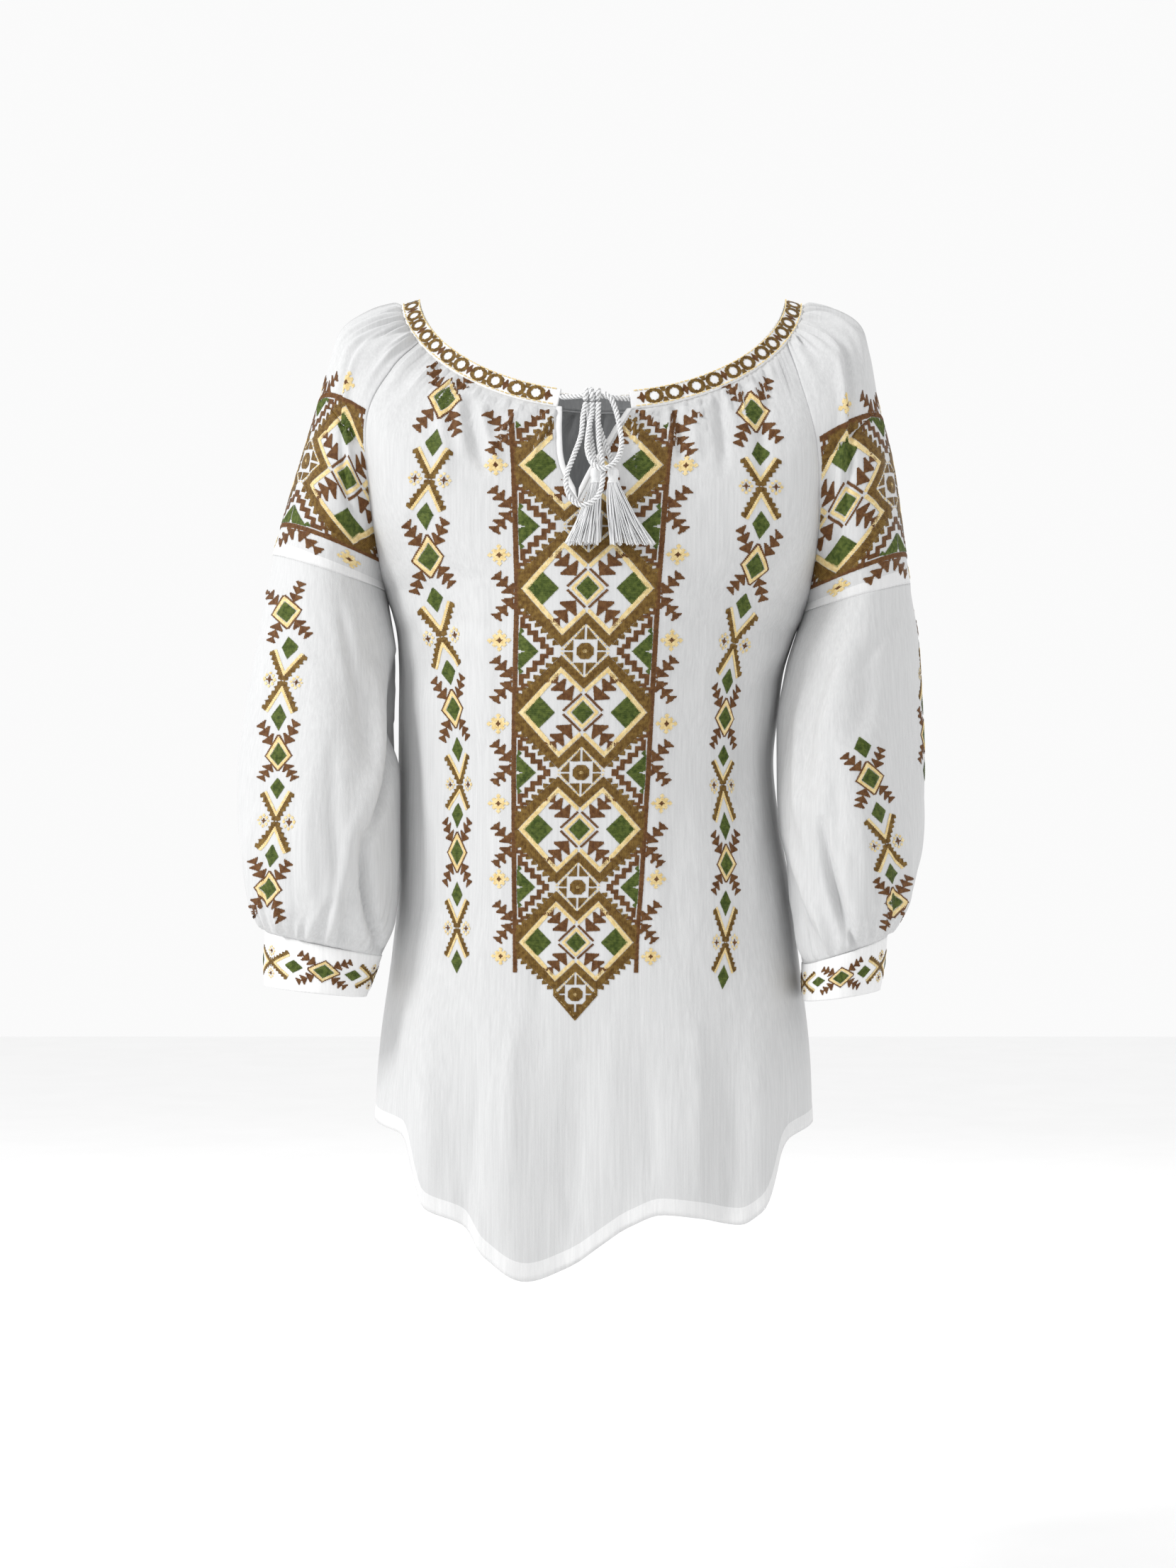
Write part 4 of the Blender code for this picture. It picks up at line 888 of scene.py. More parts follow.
def creases(rows, first, second):
    """Soft troughs and ridges, each along a bowed line between two places.

    Columns: start, level, end, level (in the two measures given), bow, half width, rise.
    """
    relief = np.zeros(np.broadcast(first, second).shape)
    for x0, z0, x1, z1, bow, half_width, rise in rows:
        along = np.array([x1 - x0, z1 - z0])
        length = float(np.hypot(*along))
        along = along / length
        share = ((first - x0) * along[0] + (second - z0) * along[1]) / length
        aside = (first - x0) * along[1] - (second - z0) * along[0]
        aside = aside - bow * 4 * share * (1 - share)
        inside = np.clip(share, 0, 1)
        taper = np.sin(math.pi * inside) ** 0.7 * (share > 0) * (share < 1)
        relief = relief + 1.6 * rise * taper * np.exp(-((aside / half_width) ** 2))
    return relief


def fine_gathers(along, distance, count, depth, reach, phase):
    """Many small uneven gathers below a seam."""
    wander = 0.55 * np.sin(along * 23.0 + phase) + 0.35 * np.sin(along * 57.0 + 2.1 * phase)
    wave = 0.5 + 0.5 * np.sin(2 * math.pi * along * count + 2.4 * wander)
    strength = 0.62 + 0.38 * np.sin(along * count * 2.9 + phase * 3.0)
    length = 1.35 * reach * (0.62 + 0.38 * np.sin(along * count * 1.3 + phase))
    fall = 1 - smooth((distance - 0.004) / length)
    return 1.7 * depth * strength * wave**1.4 * smooth(distance / 0.0045) * fall


def band_edge(distance, width, rise):
    """A turned-up or seamed strip: raised over its width, with a sunk line of stitches at its edge."""
    strip = rise * (1 - smooth((distance - width) / 0.0012))
    line = -0.6 * rise * np.exp(-(((distance - width * 0.88) / 0.0009) ** 2))
    return strip + line


# Fine gathers below a seam: how many, how deep and how far they reach
FINE_GATHERS = {FRONT: (64, 0.0020, 0.052), BACK: (58, 0.0020, 0.052)}
SLEEVE_FINE_GATHERS = (20, 0.0034, 0.062)
CUFF_FINE_GATHERS = (34, 0.0024, 0.055)

# How far across or around from a seam the gathers and the creases have grown to their full height
GATHERS_CLEAR = 0.05
PANEL_CREASES_CLEAR = 0.04
SLEEVE_CREASES_CLEAR = 0.06

# How far down a lower sleeve from each end its relief has grown to its full height, how much of the
# creases placed in metres its front keeps, and how far below the underarm a panel's parts blend
LOWER_START_CLEAR = 0.05
LOWER_END_CLEAR = 0.02
FRONT_CREASE_SHARE = 0.6
UNDERARM_BLEND = 0.35

# Half the way round the sleeves, for the creases that are placed in metres
UPPER_HALF_GIRTH = 0.125
LOWER_HALF_GIRTH = 0.185

# The turned-up and seamed strips: their widths and how far they stand out
HEM_STRIP = (0.0105, 0.00055)
SEAM_STRIP = (0.0085, 0.0004)
RAGLAN_STRIP = (0.006, 0.0004)
JOIN_STRIP = (0.004, 0.0003)

# The ripple of the hem: its height, and how far up it reaches
RIPPLE_RISE = 0.0011
RIPPLE_REACH = 0.05

# The neckband's padding and its two pipings, each with its place down, half width and rise
BAND_PADDING = 0.0006
PIPINGS = ((0.955, 0.05, 0.0010), (0.03, 0.04, 0.0005))
CUFF_PADDING = 0.0004
CUFF_WAVE = 0.0006

# Creases of the front and the back, as the front view shows them
# Columns: x, z, x, z, bow, half width, rise
FRONT_CREASES = (
    (-0.103, -0.088, -0.089, -0.152, 0.003, 0.0042, -0.0030),
    (-0.094, -0.090, -0.080, -0.142, 0.003, 0.0040, 0.0024),
    (-0.112, -0.086, -0.106, -0.138, 0.002, 0.0042, 0.0022),
    (0.054, -0.094, 0.058, -0.150, -0.002, 0.0040, -0.0026),
    (0.066, -0.092, 0.072, -0.140, -0.002, 0.0042, 0.0022),
    (0.087, -0.090, 0.092, -0.152, -0.002, 0.0042, -0.0024),
    (0.128, -0.080, 0.124, -0.160, 0.003, 0.0055, -0.0022),
    (-0.130, -0.080, -0.122, -0.165, -0.003, 0.0055, 0.0022),
    (-0.150, -0.175, -0.100, -0.235, 0.010, 0.0075, -0.0022),
    (-0.160, -0.215, -0.118, -0.290, 0.008, 0.0080, 0.0020),
    (0.148, -0.190, 0.098, -0.250, -0.010, 0.0075, -0.0022),
    (0.155, -0.235, 0.112, -0.310, -0.008, 0.0085, 0.0020),
    (-0.118, -0.240, -0.108, -0.420, 0.004, 0.0075, -0.0018),
    (-0.096, -0.230, -0.092, -0.360, -0.003, 0.0070, 0.0016),
    (-0.140, -0.300, -0.137, -0.480, -0.003, 0.0070, 0.0022),
    (0.104, -0.250, 0.106, -0.430, -0.004, 0.0075, -0.0018),
    (0.120, -0.330, 0.119, -0.500, 0.003, 0.0075, 0.0020),
    (0.084, -0.260, 0.080, -0.380, 0.004, 0.0070, 0.0014),
    (-0.066, -0.560, -0.070, -0.700, 0.003, 0.0060, 0.0018),
    (-0.020, -0.590, -0.028, -0.745, -0.002, 0.0075, -0.0022),
    (0.010, -0.560, 0.008, -0.700, 0.002, 0.0085, 0.0016),
    (0.036, -0.600, 0.040, -0.715, 0.002, 0.0060, -0.0014),
    (0.070, -0.560, 0.074, -0.715, -0.002, 0.0065, 0.0018),
    (0.096, -0.600, 0.101, -0.720, 0.001, 0.0060, -0.0018),
    (-0.096, -0.600, -0.100, -0.715, 0.001, 0.0055, -0.0018),
    (-0.050, -0.480, -0.052, -0.620, -0.002, 0.0070, -0.0012),
    (0.146, -0.560, 0.150, -0.650, 0.001, 0.0060, 0.0020),
    (-0.152, -0.560, -0.158, -0.650, 0.001, 0.0060, 0.0020),
    (0.060, -0.390, 0.056, -0.540, 0.003, 0.0080, -0.0010),
    (-0.080, -0.400, -0.078, -0.540, -0.003, 0.0080, 0.0010),
)
BACK_CREASES = (
    (-0.150, -0.185, -0.095, -0.245, 0.010, 0.0080, -0.0022),
    (0.148, -0.195, 0.094, -0.255, -0.010, 0.0080, -0.0022),
    (-0.110, -0.250, -0.104, -0.440, 0.004, 0.0080, -0.0018),
    (0.104, -0.260, 0.100, -0.430, -0.004, 0.0080, 0.0018),
    (-0.062, -0.130, -0.058, -0.330, 0.004, 0.0085, 0.0014),
    (0.030, -0.120, 0.034, -0.300, -0.003, 0.0080, -0.0014),
    (-0.010, -0.400, -0.016, -0.600, 0.004, 0.0085, 0.0016),
    (0.066, -0.450, 0.070, -0.690, -0.003, 0.0070, -0.0020),
    (-0.076, -0.520, -0.082, -0.700, 0.003, 0.0070, -0.0020),
    (0.006, -0.600, 0.010, -0.735, 0.002, 0.0070, -0.0018),
    (-0.034, -0.600, -0.040, -0.725, 0.002, 0.0060, 0.0018),
    (0.134, -0.420, 0.138, -0.640, 0.002, 0.0070, 0.0020),
    (-0.142, -0.440, -0.150, -0.640, 0.002, 0.0070, 0.0020),
)

# Creases of the sleeves, in metres round from the outside line and down from the top
# Columns: round, down, round, down, bow, half width, rise
UPPER_CREASES = (
    (-0.060, 0.010, -0.088, 0.120, 0.004, 0.0060, -0.0026),
    (-0.072, 0.030, -0.100, 0.170, -0.004, 0.0055, 0.0024),
    (-0.034, 0.004, -0.052, 0.090, 0.003, 0.0050, 0.0020),
    (-0.012, 0.004, -0.016, 0.075, 0.002, 0.0050, -0.0018),
    (0.012, 0.004, 0.020, 0.085, 0.002, 0.0055, 0.0018),
    (0.045, 0.010, 0.070, 0.110, -0.004, 0.0060, -0.0024),
    (0.070, 0.030, 0.098, 0.170, 0.004, 0.0055, 0.0022),
    (-0.085, 0.110, -0.108, 0.205, 0.004, 0.0060, -0.0024),
    (0.085, 0.120, 0.104, 0.205, -0.004, 0.0060, -0.0022),
    (-0.030, 0.150, -0.070, 0.215, 0.004, 0.0080, -0.0010),
)
LOWER_CREASES = (
    (-0.100, 0.020, -0.118, 0.170, 0.006, 0.0075, -0.0042),
    (-0.124, 0.060, -0.112, 0.235, -0.004, 0.0060, 0.0030),
    (-0.085, 0.130, -0.106, 0.285, 0.010, 0.0060, -0.0032),
    (-0.068, 0.170, -0.088, 0.290, 0.010, 0.0055, 0.0022),
    (-0.055, 0.200, -0.070, 0.290, 0.006, 0.0045, -0.0022),
    (-0.100, 0.200, -0.098, 0.292, 0.002, 0.0045, 0.0026),
    (-0.034, 0.215, -0.036, 0.290, 0.002, 0.0045, -0.0020),
    (-0.014, 0.205, -0.012, 0.290, 0.002, 0.0050, 0.0020),
    (0.012, 0.200, 0.010, 0.290, -0.002, 0.0050, -0.0020),
    (0.040, 0.150, 0.036, 0.285, -0.004, 0.0060, 0.0024),
    (0.070, 0.120, 0.064, 0.285, 0.004, 0.0065, -0.0030),
    (0.100, 0.040, 0.092, 0.240, 0.004, 0.0070, 0.0028),
    (0.125, 0.060, 0.118, 0.260, -0.003, 0.0065, -0.0028),
    (-0.050, 0.010, -0.075, 0.080, 0.004, 0.0070, -0.0016),
    (0.030, 0.010, 0.050, 0.100, 0.004, 0.0080, 0.0014),
)

# Folds of the lower sleeves as the photo shows them, in its pixels but for the rise in metres
# Columns: x, y, x, y, bow, half width, rise
SLEEVE_VIEW_CREASES = {
    LEFT: (
        (556, 915, 519, 1195, -14, 6.5, -0.0088),
        (519, 1165, 536, 1347, 6, 6, -0.0080),
        (538, 930, 500, 1190, -14, 14, 0.0036),
        (470, 1347, 506, 1268, -8, 6, 0.0020),
        (484, 1345, 516, 1240, -8, 6, -0.0022),
        (452, 1345, 478, 1262, -6, 7, -0.0018),
        (436, 1342, 452, 1285, -4, 6, 0.0018),
        (453, 833, 512, 1060, 8, 20, -0.0014),
    ),
    RIGHT: (
        (1157, 1150, 1208, 1345, 12, 6.5, -0.0078),
        (1176, 1150, 1226, 1335, 12, 14, 0.0020),
        (1103, 1180, 1168, 1350, 10, 7, -0.0026),
        (1112, 1170, 1182, 1345, 12, 8, 0.0022),
        (1120, 1235, 1150, 1355, 6, 6, -0.0022),
        (1225, 900, 1195, 1060, -10, 16, -0.0022),
        (1180, 890, 1150, 1060, -8, 18, 0.0018),
        (1130, 1290, 1140, 1358, 3, 6, 0.0020),
    ),
}
SLEEVE_VIEW_DEPTH = -0.07


def view_creases(rows, point):
    """Creases given in the photo's pixels, on the side that faces the camera."""
    metres = []
    for x0, y0, x1, y1, bow, half_width, rise in rows:
        start = from_photo(x0, y0, SLEEVE_VIEW_DEPTH)
        end = from_photo(x1, y1, SLEEVE_VIEW_DEPTH)
        metres.append((*start, *end, bow * PIXEL, half_width * PIXEL, rise))
    return creases(metres, point[..., 0], point[..., 2])


def panel_relief(face):
    """Everything that stands out of or sinks into a panel."""
    rows = FRONT_CREASES if face == FRONT else BACK_CREASES
    coarse = 2 * FRONT_HALF_GATHERS if face == FRONT else BACK_GATHERS

    def relief(u, v, point):
        x, z = point[..., 0], point[..., 2]
        to_seam = 1 - np.abs(u)
        distance = np.linalg.norm(point - neckline(panel_angle(face, u), 1.0), axis=-1)
        along = (u + 1) / 2
        total = gathers(along, distance * (v > 0), coarse, GATHER_DEPTH, GATHER_REACH)
        total = (total + fold_relief(face, point)) * smooth(to_seam / PANEL_SEAM_CLEAR)
        gathered = fine_gathers(along, distance, *FINE_GATHERS[face], 1.3 * face) * (v < 1)
        total = total + gathered * smooth(to_seam / GATHERS_CLEAR)
        total = total + creases(rows, x, z) * smooth(to_seam / PANEL_CREASES_CLEAR)
        to_hem = z - read(HEM[face], 1, x)
        low = v > 1.5
        total = total + np.where(low, band_edge(to_hem, *HEM_STRIP), 0.0)
        ripple = RIPPLE_RISE * np.sin(x * 190 + 2.2 * np.sin(x * 61))
        return total + np.where(low, ripple * (1 - smooth(to_hem / RIPPLE_REACH)), 0.0)

    return relief


def upper_relief(side):
    """What stands out of an upper sleeve."""
    length = SHOULDER_ROUTES[side].length

    def relief(u, v, point):
        distance = v * length
        to_seam = 1 - np.abs(u)
        along = (u + 1) / 2
        total = gathers(along, distance, SHOULDER_GATHERS, GATHER_DEPTH, GATHER_REACH)
        total = total * smooth(to_seam / SLEEVE_SEAM_CLEAR)
        fine = fine_gathers(along, distance, *SLEEVE_FINE_GATHERS, 2.0 + side)
        total = total + fine * smooth(to_seam / GATHERS_CLEAR)
        creased = creases(UPPER_CREASES, u * UPPER_HALF_GIRTH, distance)
        total = total + creased * smooth(to_seam / SLEEVE_CREASES_CLEAR)
        total = total + band_edge((1 - v) * length, *SEAM_STRIP)
        return total + band_edge(to_seam * UPPER_HALF_GIRTH, *RAGLAN_STRIP)

    return relief


def lower_relief(side):
    """What stands out of a lower sleeve."""
    length = SHOULDER_ROUTES[side].at(1.0)[2] - LOWER_SLEEVE[side][-1][3]

    def relief(u, v, point):
        to_cuff = (1 - v) * length
        along = (u + 1) / 2
        total = gathers(along, to_cuff, CUFF_GATHERS, CUFF_GATHER_DEPTH, CUFF_GATHER_REACH)
        for place, deepest, half_width, half_length, depth in SLEEVE_FOLDS:
            away = np.abs((u - place + 1) % 2 - 1)
            across = np.exp(-((away / half_width) ** 2) * FOLD_SHARPNESS)
            total = total + depth * across * (1 - smooth(np.abs(v - deepest) / half_length))
        inner = smooth((1 - np.abs(u)) / INNER_SLEEVE_CLEAR)
        fine = fine_gathers(along, to_cuff, *CUFF_FINE_GATHERS, 4.0 + side) * inner
        share = np.where(u < 0, FRONT_CREASE_SHARE, 1.0)
        more = creases(LOWER_CREASES, u * LOWER_HALF_GIRTH, v * length) * share
        more = more + view_creases(SLEEVE_VIEW_CREASES[side], point) * (u < 0)
        total = np.where(total + more > 0, (total + more) * inner, total + more) + fine
        ends = smooth(v / LOWER_START_CLEAR) * smooth((1 - v) / LOWER_END_CLEAR)
        return total * ends + band_edge(v * length, *JOIN_STRIP)

    return relief


def fitted_sleeve(side):
    """The plain surface of an upper sleeve, fitted to the neckband."""

    def fitted(u, v):
        top = upper_sleeve_base(side, u, np.zeros(np.shape(u)))
        neck = neckline(sleeve_angle(side, u), 1.0)
        return upper_sleeve_base(side, u, v) + (neck - top) * (1 - smooth(v / SLEEVE_NECK_FIT))[..., None]

    return fitted


def band_base(u, v):
    """The neckband: u is -1 at the slit's left edge and 1 at its right edge, v is 0 at the top."""
    turn = 360.0 - SLIT_LEFT_ANGLE + SLIT_RIGHT_ANGLE
    angle = SLIT_LEFT_ANGLE + (np.asarray(u) + 1) / 2 * turn
    return neckline(angle, np.asarray(v, dtype=float)[..., None])


def band_relief(u, v, point):
    """A padded band with a white piping along each edge."""
    body = BAND_PADDING * np.sin(math.pi * np.clip(v, 0, 1)) ** 0.5
    piping = sum(rise * np.exp(-(((v - place) / half_width) ** 2)) for place, half_width, rise in PIPINGS)
    return (BAND_WALL - WALL) / 2 + body + piping


def cuff_relief(u, v, point):
    """A cuff that is padded in its middle and waves a little round the wrist."""
    body = CUFF_PADDING * np.sin(math.pi * np.clip(v, 0, 1)) ** 0.5
    return (CUFF_WALL - WALL) / 2 + body + CUFF_WAVE * np.sin(u * 9.0 + v * 2.0)


def panel_surface(face):
    """A panel's plain surface, with its upper and lower parts led smoothly into each other."""

    def place(u, v):
        u, v = np.broadcast_arrays(np.asarray(u, dtype=float), np.asarray(v, dtype=float))
        step = panel_base(face, u, np.ones(u.shape)) - panel_base(face, u, np.full(u.shape, 1 + 1e-9))
        part = np.where(v > 1, 1 - smooth((v - 1) / UNDERARM_BLEND), 0.0)
        return panel_base(face, u, v) + step * part[..., None]

    return place


def within(base, side):
    """A sleeve's surface that keeps still beyond its own ends."""
    return lambda u, v: base(side, u, np.clip(v, 0, 1))


SHEETS = {
    "front_panel": Sheet(panel_surface(FRONT), -1.0, panel_relief(FRONT), 2.0),
    "back_panel": Sheet(panel_surface(BACK), 1.0, panel_relief(BACK), 2.0),
    "neckband": Sheet(band_base, 1.0, band_relief),
}
for side, word in SIDE_WORD.items():
    SHEETS["sleeve_upper_" + word] = Sheet(fitted_sleeve(side), float(-side), upper_relief(side))
    SHEETS["sleeve_lower_" + word] = Sheet(within(lower_sleeve_base, side), float(-side), lower_relief(side))
    SHEETS["cuff_" + word] = Sheet(within(cuff_place, side), float(-side), cuff_relief)

# The shells' points across or around and down; the front has its halves' columns, and its rows
# beside the slit and below it
SHELL_POINTS = {
    "back_panel": (120, 150),
    "neckband": (760, 16),
    "sleeve_upper": (130, 90),
    "sleeve_lower": (161, 130),
    "cuff": (121, 24),
}
FRONT_HALF_COLUMNS = 68
FRONT_ROWS = (56, 168)

# The neckband's shell reaches a little below the band, the hem strips are three rows of faces, and
# an upper sleeve's strip starts at this share of its rows
NECKBAND_END = 1.07
HEM_FACE_ROWS = 3
STRIP_START = 0.955
SHELL_WALL = 0.0008


def walled(made, thickness=SHELL_WALL):
    """Gives a shell its thickness, on the inner side."""
    solid = made.modifiers.new("wall", "SOLIDIFY")
    solid.thickness = thickness
    solid.offset = -1.0
    return solid


def shell(name, material_names, slot_name, wall=SHELL_WALL, closed=False, end=1.0):
    """A thin cloth shell over one sheet; where it is closed, the last column is the first again."""
    kind = name.removesuffix("_left").removesuffix("_right")
    columns, rows = SHELL_POINTS[kind]
    points = SHEETS[name].at(*np.meshgrid(np.linspace(-1, 1, columns), np.linspace(0, end, rows)))
    if closed:
        points = points[:, :-1]
    made = grid_object(name + "_cloth", grid_faces(rows, points.shape[1], closed), points)
    face_outwards(made)
    solid = walled(made, wall)
    dress(made, material_names, slot_name, name)
    # The inside material is painted shade, given to the inner faces that the wall makes
    if "inside" in material_names:
        solid.material_offset = material_names.index("inside")
    return made


def strip(made, first_face):
    """Gives the faces from one on the whiter, doubled cloth of the last material, the hem's."""
    index = np.zeros(len(made.data.polygons), dtype=np.int32)
    index[first_face:] = len(made.data.materials) - 1
    made.data.polygons.foreach_set("material_index", index)
    return made


def back_shell():
    """The back, with its hem's strip."""
    # The back's inner faces are painted with shade through the inside material
    made = shell("back_panel", ("gauze", "inside", "hem"), "gauze", end=2.0)
    faces_in_row = SHELL_POINTS["back_panel"][0] - 1
    return strip(made, -HEM_FACE_ROWS * faces_in_row)


def upper_sleeve_shell(name):
    """An upper sleeve, with the strip above its lower seam."""
    made = shell(name, ("gauze", "hem"), "gauze")
    columns, rows = SHELL_POINTS["sleeve_upper"]
    return strip(made, math.ceil((rows - 1) * STRIP_START) * (columns - 1))


def face_outwards(made):
    """Turns the faces so that most of them look away from the piece's own middle line."""
    mesh = made.data
    centre = np.mean([vertex.co[:2] for vertex in mesh.vertices], axis=0)
    sample = list(mesh.polygons)[:: max(len(mesh.polygons) // 400, 1)]
    toward = sum((np.array(p.center[:2]) - centre) @ np.array(p.normal[:2]) for p in sample)
    if toward < 0:
        mesh.flip_normals()


def front_shell():
    """The front, in two halves above the slit's end and one below it."""
    sheet = SHEETS["front_panel"]
    slit_end = SLIT_ROWS / UPPER_ROWS
    beside = np.linspace(0, slit_end, FRONT_ROWS[0])
    below = np.linspace(slit_end, 2.0, FRONT_ROWS[1])[1:]
    points = []
    for v in np.concatenate([beside, below]):
        left = np.linspace(-1.0, slit_edge(LEFT, v), FRONT_HALF_COLUMNS)
        right = np.linspace(slit_edge(RIGHT, v), 1.0, FRONT_HALF_COLUMNS)
        points.append(sheet.at(np.concatenate([left, right]), v))
    columns = 2 * FRONT_HALF_COLUMNS
    faces = grid_faces(len(points), columns, False)
    faces = faces[faces[:, 0] % columns != FRONT_HALF_COLUMNS - 1]
    made = grid_object("front_panel_cloth", faces, points)
    work = bmesh.new()
    work.from_mesh(made.data)
    bmesh.ops.remove_doubles(work, verts=work.verts, dist=1e-6)
    work.to_mesh(made.data)
    work.free()
    made.data.shade_smooth()
    face_outwards(made)
    walled(made)
    dress(made, ("gauze", "hem"), "gauze", "front_panel")
    return strip(made, -HEM_FACE_ROWS * (columns - 2))


def slit_edge(side, v):
    """How far across the slit's edge is."""
    top_angle = SLIT_LEFT_ANGLE if side == LEFT else SLIT_RIGHT_ANGLE
    top = (90.0 - top_angle) / (90.0 - RAGLAN_ANGLE)
    part = min(float(v) * UPPER_ROWS / SLIT_ROWS, 1.0)
    return top + (SLIT_END - top) * part**SLIT_CURVE


def fill(shapes, pitch):
    """Threads across each shape: rows of x, y, x, y, colour number; an upright shape's run down."""
    threads = []
    for colour, points, upright in shapes:
        points = np.asarray(points, dtype=float)
        if upright:
            points = points[:, ::-1]
        number = THREAD_ORDER.index(colour)
        nexts = np.roll(points, -1, axis=0)
        first = (math.floor(points[:, 1].min() / pitch) + 0.5) * pitch
        for level in np.arange(first, points[:, 1].max(), pitch):
            crossed = (points[:, 1] <= level) != (nexts[:, 1] <= level)
            a, b = points[crossed], nexts[crossed]
            places = np.sort(a[:, 0] + (level - a[:, 1]) * (b[:, 0] - a[:, 0]) / (b[:, 1] - a[:, 1]))
            for low, high in zip(places[0::2], places[1::2]):
                if high - low > SHORTEST_THREAD * pitch:
                    ends = (level, low, level, high) if upright else (low, level, high, level)
                    threads.append((*ends, number))
    return np.array(threads)


def thread_lengths(threads):
    """Each thread's length in the chart's own unit."""
    return np.hypot(threads[:, 2] - threads[:, 0], threads[:, 3] - threads[:, 1])


def thread_object(name, sheet, threads, unit_size, place, slot_name, pitch=PITCH):
    """Raised threads on a sheet. place turns chart points into the sheet's u and v."""
    groups = []
    faces = []
    colours = []
    count = 0
    start, end = threads[:, 0:2], threads[:, 2:4]
    along = end - start
    lengths = np.linalg.norm(along, axis=1)
    along = along / lengths[:, None]
    shift = RANDOM.uniform(*THREAD_END_SHIFTS, (len(threads), 2)) * pitch / unit_size
    start = start - along * shift[:, :1]
    end = end + along * shift[:, 1:]
    aside = np.stack([-along[:, 1], along[:, 0]], axis=1) * (THREAD_HALF * pitch / unit_size)
    steps = np.ceil(lengths * unit_size / THREAD_STEP)
    pieces = np.clip(steps, 1, THREAD_MOST_STEPS).astype(int) + 1
    rises = RANDOM.uniform(*THREAD_RISES, len(threads))
    for number in np.unique(pieces):
        chosen = pieces == number
        share = np.linspace(0, 1, number + 1)[None, :, None]
        middle = start[chosen][:, None] + (end - start)[chosen][:, None] * share
        side_step = aside[chosen][:, None]
        at_end = (share == 0) | (share == 1)
        rise = np.where(at_end, THREAD_END_RISE, 1.0)[..., 0] * rises[chosen][:, None]
        flat = np.stack([middle + side_step, middle, middle - side_step], axis=2)
        height = np.stack([0 * rise, rise * THREAD_RISE, 0 * rise], axis=2)
        total = flat.shape[0]
        groups.append((flat.reshape(-1, 2), height.reshape(-1)))
        step = 3 * (number + 1)
        base = count + np.arange(total)[:, None] * step + 3 * np.arange(number)[None, :]
        for k in range(2):
            corners = (base + k, base + k + 1, base + k + 4, base + k + 3)
            faces.append(np.stack(corners, axis=-1).reshape(-1, 4))
            colours.append(np.repeat(threads[chosen, 4].astype(int), number))
        count += total * step
    flat = np.vstack([group[0] for group in groups])
    height = np.concatenate([group[1] for group in groups])
    u, v = place(flat[:, 0], flat[:, 1])
    points = sheet.at(u, v, THREAD_LIFT + height)
    made = grid_object(name, np.vstack(faces), points)
    dress(made, THREAD_ORDER, slot_name)
    made.data.polygons.foreach_set("material_index", np.concatenate(colours).astype(np.int32))
    outward = sheet.normal(u[:1], v[:1])[0]
    if np.dot(outward, made.data.polygons[0].normal) < 0:
        made.data.flip_normals()
    return made


def mirrored(shapes, across, down):
    """The shapes with their mirror images across and down."""
    made = []
    for sx in (1, -1) if across else (1,):
        for sy in (1, -1) if down else (1,):
            for colour, points, upright in shapes:
                made.append((colour, [(sx * x, sy * y) for x, y in points], upright))
    return made


def moved(shapes, dx, dy, scale=1.0):
    """The shapes at another place and size."""
    return [(c, [(dx + scale * x, dy + scale * y) for x, y in points], up) for c, points, up in shapes]


def diamond(half_x, half_y, x=0.0, y=0.0):
    """A diamond round a place."""
    return [(x - half_x, y), (x, y - half_y), (x + half_x, y), (x, y + half_y)]


def block(left, top, right, bottom):
    """An upright rectangle."""
    return [(left, top), (right, top), (right, bottom), (left, bottom)]


def line(x0, y0, x1, y1, width):
    """A straight stroke as a thin four-sided shape."""
    length = math.hypot(x1 - x0, y1 - y0)
    nx, ny = -(y1 - y0) / length * width / 2, (x1 - x0) / length * width / 2
    return [(x0 + nx, y0 + ny), (x1 + nx, y1 + ny), (x1 - nx, y1 - ny), (x0 - nx, y0 - ny)]


def teeth(colour, x0, y0, x1, y1, count, size):
    """A row of small pointed teeth on one side of a line."""
    length = math.hypot(x1 - x0, y1 - y0)
    dx, dy = (x1 - x0) / length, (y1 - y0) / length
    nx, ny = dy * size, -dx * size
    step = length / count
    shapes = []
    for i in range(count):
        a = i * step
        b = a + 0.92 * step
        m = (a + b) / 2
        tip = (x0 + dx * m + nx, y0 + dy * m + ny)
        shapes.append((colour, [(x0 + dx * a, y0 + dy * a), tip, (x0 + dx * b, y0 + dy * b)], True))
    return shapes


# The central chart, in units of which one repeat is 88 long; y runs down the blouse
REPEAT = 88.0
HALF = 46.0


def flower(radius=7.4):
    """A pale flower with a dark four-pointed middle."""
    shapes = []
    for i in range(8):
        turn = math.pi / 4 * i
        size = 1.0 if i % 2 == 0 else 0.72
        for share in (0.48, 0.80):
            x, y = math.cos(turn) * radius * share * size, math.sin(turn) * radius * share * size
            shapes.append(("cream", diamond(1.75, 1.75, x, y), False))
    left, right = [(-2.6, 0), (-0.9, -0.9)], [(2.6, 0), (0.9, 0.9)]
    shapes.append(("rust", [*left, (0, -2.6), (0.9, -0.9), *right, (0, 2.6), (-0.9, 0.9)], False))
    return shapes


def stairs(colour, x0, y0, x1, y1, count, thick):
    """A zigzag stroke of upright and level steps between two places."""
    dx, dy = (x1 - x0) / count, (y1 - y0) / count
    half = thick / 2
    shapes = []
    for i in range(count):
        x, y = x0 + dx * i, y0 + dy * i
        low, high = sorted((y - math.copysign(half, dy), y + dy + math.copysign(half, dy)))
        shapes.append((colour, block(x - half, low, x + half, high), True))
        left, right = sorted((x, x + dx))
        shapes.append((colour, block(left, y + dy - half, right, y + dy + half), True))
    return shapes


# A leaf's corners, along its stem and away from it, as shares of its size
BARB = ((0.0, 0.08), (1.02, 0.08), (1.04, 0.92), (0.86, 0.98))


